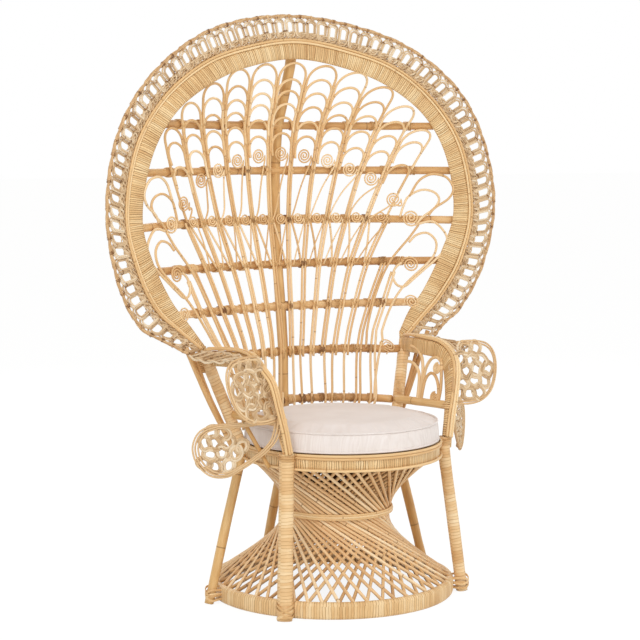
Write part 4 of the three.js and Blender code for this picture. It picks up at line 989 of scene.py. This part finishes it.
side_loops = [
    [(.400, .943), (.430, .950), (.450, .941), (.470, .912), (.470, .880), (.445, .850), (.410, .820),
     (.374, .790), (.350, .772), (.331, .776), (.322, .798), (.331, .822), (.350, .838)],
    [(.372, .893), (.392, .912), (.420, .918), (.440, .900), (.442, .876), (.430, .850), (.400, .820),
     (.352, .778), (.318, .738), (.288, .690), (.262, .640), (.238, .590), (.219, .530), (.208, .476)],
    [(.398, .940), (.370, .903), (.323, .850), (.292, .802), (.262, .740), (.238, .680), (.215, .610)]]
end_coils = [((.379, .960), .0225, (.398, .940)), ((.370, .832), .0215, (.350, .838)),
             ((.360, .730), .0190, (.330, .722)), ((.263, .617), .0165, (.250, .592))]
for side, hand in hands:
    for number, knots in enumerate(side_loops):
        spokes[hand].append(cane(smooth(knots, 7), 0.0015 + 0.002 * number, hand=hand))
    for centre, size, leave in end_coils:
        away = np.array(leave) - centre
        line = coil(centre, size, 2.7, math.atan2(away[1], away[0]))
        tail = smooth([line[-1], leave + (line[-1] - leave) * 0.2], 3)
        spokes[hand].append(cane(np.vstack([line[:-1], tail]), 0.0055, size * 0.11, hand))
    piece(f"back_spokes_{side}_canes", spokes[hand], fan_finish, [f"back_spokes_{side}"])


# Ties of the back
# Three or four turns of thin peel, some of them dark, hold the canes to each rail.
tie_light = cane_finish("light tie peel", "c2925a", "dcb47b", "edcb98", "8b6234", joint_spacing=5.0)
tie_peel = rounded(0.0032, 0.0013, 0.0005, 1)


def tie(line, x, wide, turns, seed):
    """Turns of peel round a rail and the canes in front of it."""
    near = [np.interp(place, line[:, 0], line[:, 1]) for place in (x - 0.005, x, x + 0.005)]
    centre = (x, near[1] - fan_cane, np.interp(x, line[:, 0], line[:, 2]))
    radii = (rail_radius + fan_cane + 0.0026, rail_radius + 0.0014)
    return sweep(lashing(centre, (0.01, near[2] - near[0], 0), radii, turns, wide / turns, seed), tie_peel)


light_ties, dark_ties = [], []
for rail, line in rail_lines.items():
    columns = np.arange(-6, 6) + 0.5
    if rail < 3:
        places = columns * pitch_at(line[len(line) // 2, 2])
    elif rail < 7:
        places = (columns if rail == 3 else np.arange(-8, 8) + 0.5) * pair_spacing[rail - 3]
    else:
        places = [hand * x for side, hand in hands for x in pair_ends]
    for x in places:
        if abs(x) > line[-1, 0] - 0.03:
            continue
        choice = dark_ties if dice.random() < 0.22 else light_ties
        choice.append(tie(line, x + dice.normal(0, 0.0008), 0.015, 3.5, dice.random() * 6))
        if dice.random() < 0.5:
            beside = x + 0.010 * (1 if dice.random() < 0.5 else -1)
            light_ties.append(tie(line, beside, 0.007, 2.0, dice.random() * 6))
piece("rail_ties_light", light_ties, tie_light)
piece("rail_ties_dark", dark_ties, dark_peel_and_shade)


# Rear posts and braces
# A wound post stands on each side leg and carries the arm and the end of the hoop. Two thin bare
# poles brace it from outside.
rear_radius, brace_radius = 0.015, 0.0065
rear_line = np.linspace((*side_top, seat_high), rear_top - (0, 0, 0.014), 24)
brace_end = np.array([0.382, 0.104 + chair_shift, 0.652])
brace_start = np.array([*side_top, seat_high - 0.02]) + (0.010, 0.016, 0.0)
for side, hand in hands:
    piece(f"rear_post_{side}_winding", [pole(on_side(rear_line, hand), rear_radius, 31, 18)], leg_wrap,
          [f"rear_post_{side}"])
    braces = []
    for lean, back, rise, girth in ((0.0, 0.0, 0.0, 1.0), (-0.022, 0.004, -0.012, 0.8)):
        top = brace_end + (lean, back, rise)
        line = smooth([top, (top + brace_start) / 2 + (0.004, 0.002, 0), brace_start + (lean * 0.3, 0, 0)], 8)
        braces.append(pole(on_side(line, hand), brace_radius * girth, 33, 10))
    piece(f"arm_brace_{side}_poles", braces, rail_cane, [f"arm_brace_{side}"])


# Arms and front posts
# One wide band, wound across with peel, runs forward from the hoop and turns down to the front
# leg. Three round canes follow its outer edge and one its inner edge.
arm_top, arm_rear = 0.4273 * total_height, 0.52 * hoop_half
arm_outer_shares = [(1, .64, .998), (.7, .3, 1.022), (.57, -.05, 1.027), (.62, -.36, .998),
                    (.65, -.575, .895), (.50, -.73, .742), (.32, -.78, .484), (.13, -.80, .239),
                    (-.02, -.815, .003)]
arm_inner_shares = [(.914, .64, .822), (.675, .3, .832), (.56, -.05, .832), (.58, -.33, .812),
                    (.56, -.455, .728), (.47, -.54, .62), (.31, -.635, .43), (.14, -.70, .212),
                    (-.02, -.735, .003)]


def arm_line(shares):
    """A line along the right arm, from the hoop to the front leg."""
    return smooth([(front_top[0] + (arm_rear - front_top[0]) * x, y * hoop_depth + chair_shift,
                    seat_high + (arm_top - seat_high) * z) for x, y, z in shares], 12)


arm_outer, arm_inner = arm_line(arm_outer_shares), arm_line(arm_inner_shares)
across = unit(arm_outer - arm_inner)
outward = np.cross(unit(np.gradient(arm_outer + arm_inner, axis=0)), across)
outward = unit(outward * np.sign(outward[:, :1]))
arm_thick, arm_bead = 0.017, 0.0036
arm_wrap = wound_finish("arm winding", 0.0056, "cda069", "e4be87", "f2d6a6", "8a5e30", slant=0.05, wander=1.1,
                        seam=0.17)
arm_band = band(arm_inner - across * 0.001, arm_outer - across * 0.001, arm_thick, (0.6, 0.6), outward, 0.002)
foot_width = {"right": 0.88, "left": 1.05}
collar_z, collar_half, collar_peel = 0.487, (0.0150, 0.0140), rounded(0.0048, 0.0016, 0.0006, 1)
for side, hand in hands:
    piece(f"arm_band_{side}_winding", [strand_on_side(arm_band, hand)], arm_wrap,
          [f"arm_band_{side}"])
    edges = [((arm_outer + outward * (out * arm_thick + 0.004) + across * up)[3:], arm_bead)
             for out, up in ((-0.46, 0.0025), (0.0, 0.0045), (0.46, 0.003))]
    low = arm_inner + outward * arm_thick * 0.42 - across * 0.001
    edges.append((low[len(low) // 3:], arm_bead * 0.9))
    piece(f"arm_{side}_edge_canes", [strand_on_side(sweep(line, round_section(radius)), hand)
                                     for line, radius in edges], bead_cane)
    girth = front_radius * foot_width[side] + 0.0008
    at = int(np.argmin(np.abs(arm_outer[:, 2] - collar_z)))
    above = (arm_outer[at] + arm_inner[at]) / 2
    collars = [lashing((x, y, z), (0, 0, 1), size, 3.0, 0.0052) for x, y, z, size in (
        (*front_top, seat_high - 0.010, (girth, girth)), (above[0], above[1], collar_z, collar_half))]
    piece(f"front_post_{side}_ties", [sweep(on_side(turns, hand), collar_peel)
                                      for turns in collars], lashing_peel)


# Side rails
# A pole on each side, just above the cushion and a little higher at the front.
side_rail_radius = 0.013
side_rail_line = np.linspace((side_top[0] + side_rail_radius, side_top[1] + side_rail_radius, seat_rail_z),
                             (front_top[0] + front_radius, front_top[1], seat_rail_z + 0.008), 20)
for side, hand in hands:
    piece(f"side_rail_{side}_pole", [pole(on_side(side_rail_line, hand), side_rail_radius - 0.002, 41)],
          bare_pole, [f"side_rail_{side}"])


# Panels under the arms
# A double stem with arches and small coils of bent cane fills each side between rail and arm.
panel_foot = seat_rail_z + side_rail_radius
panel_height = arm_top - panel_foot
panel_low_x = (side_rail_line[0, 0] + side_rail_line[-1, 0]) / 2
panel_high_x = arm_inner[len(arm_inner) * 35 // 100, 0]
panel_lines = [
    [(-.10, -.06), (-.10, .35), (-.08, .55), (-.02, .72), (.10, .84), (.24, .88)],
    [(-.07, -.06), (-.06, .22), (-.03, .42), (.07, .55), (.20, .60), (.33, .58)],
    [(-.12, -.06), (-.13, .38), (-.16, .56), (-.24, .70), (-.36, .74), (-.46, .66), (-.49, .54)],
    [(-.15, -.06), (-.16, .18), (-.19, .36), (-.28, .46), (-.39, .42), (-.48, .24), (-.52, -.06)],
    [(-.50, -.06), (-.52, .20), (-.50, .42), (-.47, .60), (-.44, .74)]]
stem_radius, curl_radius = 0.0042, 0.0024
panel_coils = [(-.41, .56, .10), (-.43, .06, .10), (.36, .14, .11)]


def panel_cane(points, lift, radius, hand):
    """A cane along points (share of depth, share of height) of an arm panel."""
    p = np.asarray(points, float)
    line = np.stack([panel_low_x + (panel_high_x - panel_low_x) * p[:, 1] - lift,
                     p[:, 0] * hoop_depth + chair_shift, panel_foot + panel_height * p[:, 1]], 1)
    return sweep(on_side(line, hand), round_section(radius))


curl = coil((0, 0), 1.0, 3.0, math.pi / 2) * (panel_height / hoop_depth, 1)
for side, hand in hands:
    strands = [panel_cane(smooth(line, 7), 0.002 * (i % 2), stem_radius, hand)
               for i, line in enumerate(panel_lines)]
    strands += [panel_cane(curl * size + (y, z), 0.004, curl_radius, hand) for y, z, size in panel_coils]
    piece(f"arm_panel_{side}_canes", strands, fan_finish, [f"arm_panel_{side}"])


# Openwork outside the arms
# The border of the hoop runs on along each arm and ends in an ear beside the front post. Thin
# rods leave it, follow the post down and swing out and round to make the lobe below. Ear and lobe
# are filled with interlaced rings of scraped cane.
arm_border_line = arm_line([(2.04, .37, .986), (2.024, .1, .959), (1.957, -.25, .973), (1.896, -.52, 1.014)])
ear_top, ear_high, ear_wide, ear_x, ear_flare = 0.648, 0.162, 0.145, 0.272, 0.020
ear_back, ear_front = (share * hoop_depth + chair_shift for share in (-0.58, -0.76))
lobe_turn = math.radians(44)
lobe_start = np.array([front_top[0] + front_radius, front_top[1] - 0.006])
lobe_reach, lobe_z = 0.158, 0.410
ear_rod, lobe_rod, strut_radius = 0.0026, 0.0025, 0.0055
ring_peel, arm_braid = rounded(0.0064, 0.0028, 0.0012, 1), rounded(0.0056, 0.0036, 0.0015, 1)


def arm_border(ways, out, lift=0.0):
    """Points between the arm (0) and the edge of its border (1)."""
    ways, out = np.broadcast_arrays(np.asarray(ways, float), np.asarray(out, float))
    low = at_ways(arm_outer, 0.03 + 0.49 * ways, np.linspace(0, 1, len(arm_outer))) + (0.020, 0, -0.005)
    high = at_ways(arm_border_line, ways, np.linspace(0, 1, len(arm_border_line))) - (0, 0, 0.004)
    return low + (high - low) * out[:, None] + np.outer(lift * np.ones(len(ways)), (0.2, 0, 1))


def on_ear(points, lift=0.0):
    """Points (outwards, downwards) of the right ear in space."""
    p = np.asarray(points, float)
    return np.stack([ear_x + p[:, 0], ear_back - (ear_front - ear_back) * p[:, 1] / ear_high
                     - ear_flare * p[:, 0] / ear_wide - lift, ear_top + p[:, 1]], 1)


def on_lobe(points, lift=0.0):
    """Points (outwards, upwards) of the right lobe in space."""
    p = np.asarray(points, float)
    return np.stack([lobe_start[0] + p[:, 0] * math.cos(lobe_turn) + lift * math.sin(lobe_turn),
                     lobe_start[1] + p[:, 0] * math.sin(lobe_turn) - lift * math.cos(lobe_turn),
                     lobe_z + p[:, 1]], 1)


def inside(point, outline, margin):
    """Whether a flat point lies inside an outline by a margin."""
    away = outline - point
    turns = np.angle((away[:, 0] + 1j * away[:, 1]) / np.roll(away[:, 0] + 1j * away[:, 1], 1))
    return abs(turns.sum()) > math.pi and np.linalg.norm(away, axis=1).min() > margin


def interlaced(outline, pitch, size, seed, place, normal):
    """Rings of doubled flat cane that fill an outline, each one woven through its neighbours."""
    dice = np.random.default_rng(seed)
    angle = np.arange(20) * 2 * np.pi / 20
    strands = []
    for row in range(12):
        for column in range(12):
            centre = outline.min(0) + (pitch * (column + 0.5 * (row % 2)), pitch * 0.87 * row)
            centre = centre + dice.normal(0, 0.0026, 2)
            if not inside(centre, outline, size * 0.66):
                continue
            turn = dice.random() * math.pi
            for grow in (1.0, 0.70):
                x, y = size * grow * 1.14 * np.cos(angle), size * grow * 0.88 * np.sin(angle)
                flat = np.stack([centre[0] + x * math.cos(turn) - y * math.sin(turn),
                                 centre[1] + x * math.sin(turn) + y * math.cos(turn)], 1)
                lift = 0.0030 * np.cos(3 * angle + row + 2 * column) + 0.001 * (grow < 1)
                strands.append(sweep(place(flat, lift), ring_peel, up=normal, closed=True))
    return strands


ear_rim = smooth([(.006, -.158), (.045, -.162), (.084, -.155), (.116, -.133), (.135, -.098), (.143, -.060),
                  (.138, -.028), (.118, -.008), (.080, -.001), (.050, -.001), (.032, -.004)], 6)
ear_outline = np.vstack([ear_rim, smooth([(.014, -.026), (.004, -.060), (.002, -.110)], 6)])
ear_middle = np.array([0.07, -0.083])
lobe_rim = smooth([(-.004, .150), (-.003, .110), (.000, .072), (.008, .040), (.024, .016), (.049, -.008),
                   (.0975, -.042), (.136, -.063), (.178, -.062), (.212, -.033), (.223, .008), (.206, .046),
                   (.166, .064), (.110, .070), (.062, .076), (.022, .088), (.004, .098)], 8)
lobe_middle = np.array([0.120, 0.010])
bearing = np.linspace(0, 2 * np.pi, 40)[:-1]
lobe_disc = np.stack([lobe_reach - 0.004 + 0.068 * np.cos(bearing), 0.001 + 0.064 * np.sin(bearing)], 1)
ear_rings = interlaced(ear_outline, 0.0325, 0.0200, 5, on_ear, (-0.13, -1, 0))
lobe_rings = interlaced(lobe_disc, 0.0310, 0.0180, 8, on_lobe, (math.sin(lobe_turn), -math.cos(lobe_turn), 0))
ear_rods = [sweep(on_ear(ear_middle + (ear_rim - ear_middle) * (1 + grow / 0.07), lift),
                  round_section(ear_rod)) for grow, lift in ((0.0, 0.0), (-0.0055, 0.0015))]
lobe_rods = []
for number, (grow, lift) in enumerate(((0.0, 0.0), (-0.0050, 0.0022), (-0.0098, -0.0005))):
    rim = lobe_middle + (lobe_rim - lobe_middle) * (1 + grow / 0.07)
    rim = rim[8 * (number % 2):len(rim) - 5 * number]
    lobe_rods.append(sweep(on_lobe(rim, lift + 0.004), round_section(lobe_rod)))
strut = sweep(smooth(on_lobe([(0.098, 0.074), (0.066, 0.018), (0.034, -0.040)], -0.010), 5),
              round_section(strut_radius, 10))

fine = np.linspace(0, 1, 70)
angle = np.arange(22) * 2 * np.pi / 22
oval_way, oval_out = (np.sign(part) * np.abs(part) ** 0.8 for part in (np.cos(angle), np.sin(angle)))
for side, hand in hands:
    strands = []
    for number, share in enumerate(np.linspace(0.06, 1.0, 9)):
        sway = 0.05 * np.sin(2 * np.pi * (fine * 3.5 + number * 0.37))
        lift = 0.003 * np.cos(2 * np.pi * (fine * 3.5 + number * 0.61))
        strands.append(sweep(on_side(arm_border(fine, np.clip(share + sway, 0, 1.02), lift), hand),
                             arm_braid))
    for i in range(7):
        points = arm_border(np.clip((i + 0.5) / 7 + 0.075 * oval_way, 0, 1), 0.60 + 0.30 * oval_out,
                            0.0036 * np.cos(angle))
        strands.append(sweep(on_side(points + (0, 0, 0.003), hand), loop_peel, up=(0, 0, 1), closed=True))
    piece(f"arm_border_{side}_loops", strands, loop_cane, [f"arm_border_{side}"])
    for name, parts, material, slot, nodes in [
            (f"ear_panel_{side}_rings", ear_rings, loop_cane, "peeled_cane", [f"ear_panel_{side}"]),
            (f"ear_panel_{side}_rim", ear_rods, rim_cane, "peeled_cane", []),
            (f"lobe_panel_{side}_rings", lobe_rings, loop_cane, "peeled_cane", [f"lobe_panel_{side}"]),
            (f"lobe_panel_{side}_rods", lobe_rods, rim_cane, "peeled_cane", []),
            (f"lobe_strut_{side}", [strut], bare_pole, "natural_rattan", [])]:
        piece(name, [strand_on_side(s, hand) for s in parts], material, nodes)


# Cushion
# A round box cushion of cream cotton, filled firm, with piping sewn into its upper and lower seam.
# The cloth is simulated: it starts a little small and swells under the pressure of the filling.
cushion_low, cushion_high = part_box("seat_cushion")
cushion_radius = (cushion_high.x - cushion_low.x) / 2 + 0.009
cushion_y = (cushion_high.y + cushion_low.y) / 2
cushion_side, cushion_crown = 0.050, 0.013
seam_low, seam_high = cushion_low.z + 0.0035, cushion_low.z + cushion_side
seam_radius, piping_radius = cushion_radius - 0.001, 0.0025


def cushion_form():
    """The sewn shape before filling, as rings from the middle of the bottom to that of the top."""
    shares = [(0.0, 0.0, 0.0), (0.35, 0.0, 0.0), (0.7, 0.0, 0.0), (0.93, 0.0, 0.0), (0.985, 0.001, 0.0),
              (0.992, 0.12, 0.0), (0.992, 0.5, 0.0), (0.992, 0.93, 0.0), (0.982, 1.0, 0.05),
              (0.93, 1.0, 0.30), (0.8, 1.0, 0.48), (0.6, 1.0, 0.68), (0.35, 1.0, 0.79), (0.0, 1.0, 0.82)]
    steps = 96
    angles = np.arange(steps) * 2 * np.pi / steps
    verts, faces, rings = [], [], []
    for share, up, crown in shares:
        z = cushion_low.z + 0.001 + up * (cushion_side - 0.002) + crown * cushion_crown
        rings.append(len(verts))
        if share == 0:
            verts.append((0, cushion_y, z))
        else:
            radius = share * cushion_radius
            verts += [(radius * math.cos(a), cushion_y + radius * math.sin(a), z) for a in angles]
    for low, high in zip(rings[:-1], rings[1:]):
        for i in range(steps):
            k = (i + 1) % steps
            if low == 0:
                faces.append((0, high + k, high + i))
            elif high == rings[-1]:
                faces.append((low + i, low + k, high))
            else:
                faces.append((low + i, low + k, high + k, high + i))
    mesh = bpy.data.meshes.new("cushion form")
    mesh.from_pydata(verts, [], faces)
    return mesh


def as_changed(obj):
    """A mesh of the object as its modifiers leave it. The object itself is taken away."""
    result = bpy.data.meshes.new_from_object(obj.evaluated_get(bpy.context.evaluated_depsgraph_get()))
    bpy.data.objects.remove(obj)
    return result


def remeshed(mesh, voxel):
    """An even mesh of the same shape."""
    source = bpy.data.objects.new("cushion source", mesh)
    scene.collection.objects.link(source)
    even = source.modifiers.new("even", "REMESH")
    even.mode = "VOXEL"
    even.voxel_size = voxel
    return as_changed(source)


def points_of(mesh):
    """The points of a mesh, one row each."""
    points = np.empty(len(mesh.vertices) * 3)
    mesh.vertices.foreach_get("co", points)
    return points.reshape(-1, 3)


def filled(mesh, frames=20, cap=0.011):
    """The mesh after its cloth has swollen under pressure, no point moved further than cap."""
    start = points_of(mesh)
    body = bpy.data.objects.new("cushion body", mesh)
    scene.collection.objects.link(body)
    out = np.hypot(start[:, 0], start[:, 1] - cushion_y)
    held = body.vertex_groups.new(name="sewn")
    slack = body.vertex_groups.new(name="slack")
    for index, (r, z) in enumerate(zip(out, start[:, 2])):
        near = min(math.hypot(r - seam_radius, z - seam_low), math.hypot(r - seam_radius, z - seam_high))
        resting = z < cushion_low.z + 0.003 and r < 0.9 * cushion_radius
        held.add([index], 1.0 if resting else max(0.0, 1 - near / 0.006) * 0.9, "REPLACE")
        angle = math.atan2(start[index, 1] - cushion_y, start[index, 0])
        loose = 0.55 + 0.45 * math.sin(3 * angle + 0.6) * math.sin(5 * angle)
        slack.add([index], 0.0 if resting else loose, "REPLACE")
    how = body.modifiers.new("cloth", "CLOTH").settings
    for setting, value in {"quality": 6, "mass": 0.25, "tension_stiffness": 18, "compression_stiffness": 18,
                           "shear_stiffness": 8, "bending_stiffness": 0.35, "air_damping": 1.5,
                           "use_pressure": True, "uniform_pressure_force": 4.0, "vertex_group_mass": "sewn",
                           "pin_stiffness": 1.0, "vertex_group_shrink": "slack", "shrink_min": 0.0,
                           "shrink_max": -0.035}.items():
        setattr(how, setting, value)
    how.effector_weights.gravity = 0
    for frame_number in range(1, frames + 1):
        scene.frame_set(frame_number)
    swollen = as_changed(body)
    moved = points_of(swollen) - start
    moved *= np.minimum(1, cap / np.maximum(np.linalg.norm(moved, axis=1, keepdims=True), 1e-9))
    shape = start + moved
    shape[:, 2] = np.maximum(shape[:, 2], cushion_low.z)
    swollen.vertices.foreach_set("co", shape.ravel())
    scene.frame_set(1)
    return swollen


def fabric_finish():
    """Cream cotton canvas: a plain weave with thicker threads here and there."""
    material = bpy.data.materials.new("cream canvas")
    tree = emptied(material)
    maths, noise, step = helpers(tree)
    x, y, z = put(tree, "ShaderNodeSeparateXYZ", put(tree, "ShaderNodeTexCoord").outputs["Object"]).outputs
    way = maths("MULTIPLY", maths("ARCTAN2", maths("SUBTRACT", y, cushion_y), x), cushion_radius)
    normal = put(tree, "ShaderNodeNewGeometry").outputs["Normal"]
    level = maths("ABSOLUTE", put(tree, "ShaderNodeSeparateXYZ", normal).outputs[2])
    on_top = put(tree, "ShaderNodeMapRange", level, 0.55, 0.75, 0.0, 1.0).outputs[0]
    first, second = (put(tree, "ShaderNodeMix", on_top, *pair, data_type="FLOAT").outputs[0]
                     for pair in ((way, x), (z, y)))
    thread = 2 * math.pi / 0.0011
    weave = maths("MULTIPLY", *(maths("SINE", maths("MULTIPLY", way, thread)) for way in (first, second)))

    def slubs(along, over, apart, detail):
        spot = put(tree, "ShaderNodeCombineXYZ", maths("MULTIPLY", first, along),
                   maths("MULTIPLY", second, over), maths("MULTIPLY", on_top, apart)).outputs[0]
        return noise(spot, 1.0, detail)

    threads = maths("ADD", maths("MULTIPLY", slubs(22.0, 420.0, 7.0, 3.0), 0.65),
                    maths("MULTIPLY", slubs(420.0, 26.0, 3.0, 2.0), 0.35))
    tone = mix(tree, 0.35, threads, blotch(tree, 11.0))
    base = ramp(tree, tone, (0.3, 0.5, 0.7), ("ddd1c9", "e9dfd9", "f2ebe7"))
    height = maths("ADD", maths("MULTIPLY", weave, 0.12), maths("MULTIPLY", threads, 0.8))
    finished(tree, base, height, 0.35, 0.0012, {"Roughness": 0.92, "Specular IOR Level": 0.2,
                                                "Sheen Weight": 0.18, "Sheen Roughness": 0.5})
    return material


canvas = fabric_finish()
shape = remeshed(cushion_form(), 0.0055)
shape = filled(shape)
cushion = bpy.data.objects.new("cushion_cover", shape)
scene.collection.objects.link(cushion)
shape.materials.clear()
shape.materials.append(canvas)
shape.polygons.foreach_set("use_smooth", [True] * len(shape.polygons))
finer = cushion.modifiers.new("finer", "SUBSURF")
finer.levels = finer.render_levels = 1
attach(cushion, "cushion")
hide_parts("seat_cushion")


def seam_line(height, window=0.055):
    """The line of a seam on the filled cushion. The window is how far round it looks for points."""
    points = points_of(shape)
    reach = np.hypot(points[:, 0], points[:, 1] - cushion_y)
    near = (np.abs(points[:, 2] - height) < 0.0045) & (reach > 0.9 * cushion_radius)
    bearing, reach = np.arctan2(points[near, 1] - cushion_y, points[near, 0]), reach[near]
    line = []
    for angle in np.linspace(-np.pi, np.pi, 161)[:-1]:
        gap = np.abs((bearing - angle + np.pi) % (2 * np.pi) - np.pi)
        radius = np.percentile(reach[gap < window], 85)
        line.append((radius * math.cos(angle), cushion_y + radius * math.sin(angle), height))
    return line


piece("cushion_piping", [sweep(seam_line(height), round_section(piping_radius, 10), up=(0, 0, 1), closed=True)
                         for height in (seam_low, seam_high)], canvas, body="cushion")
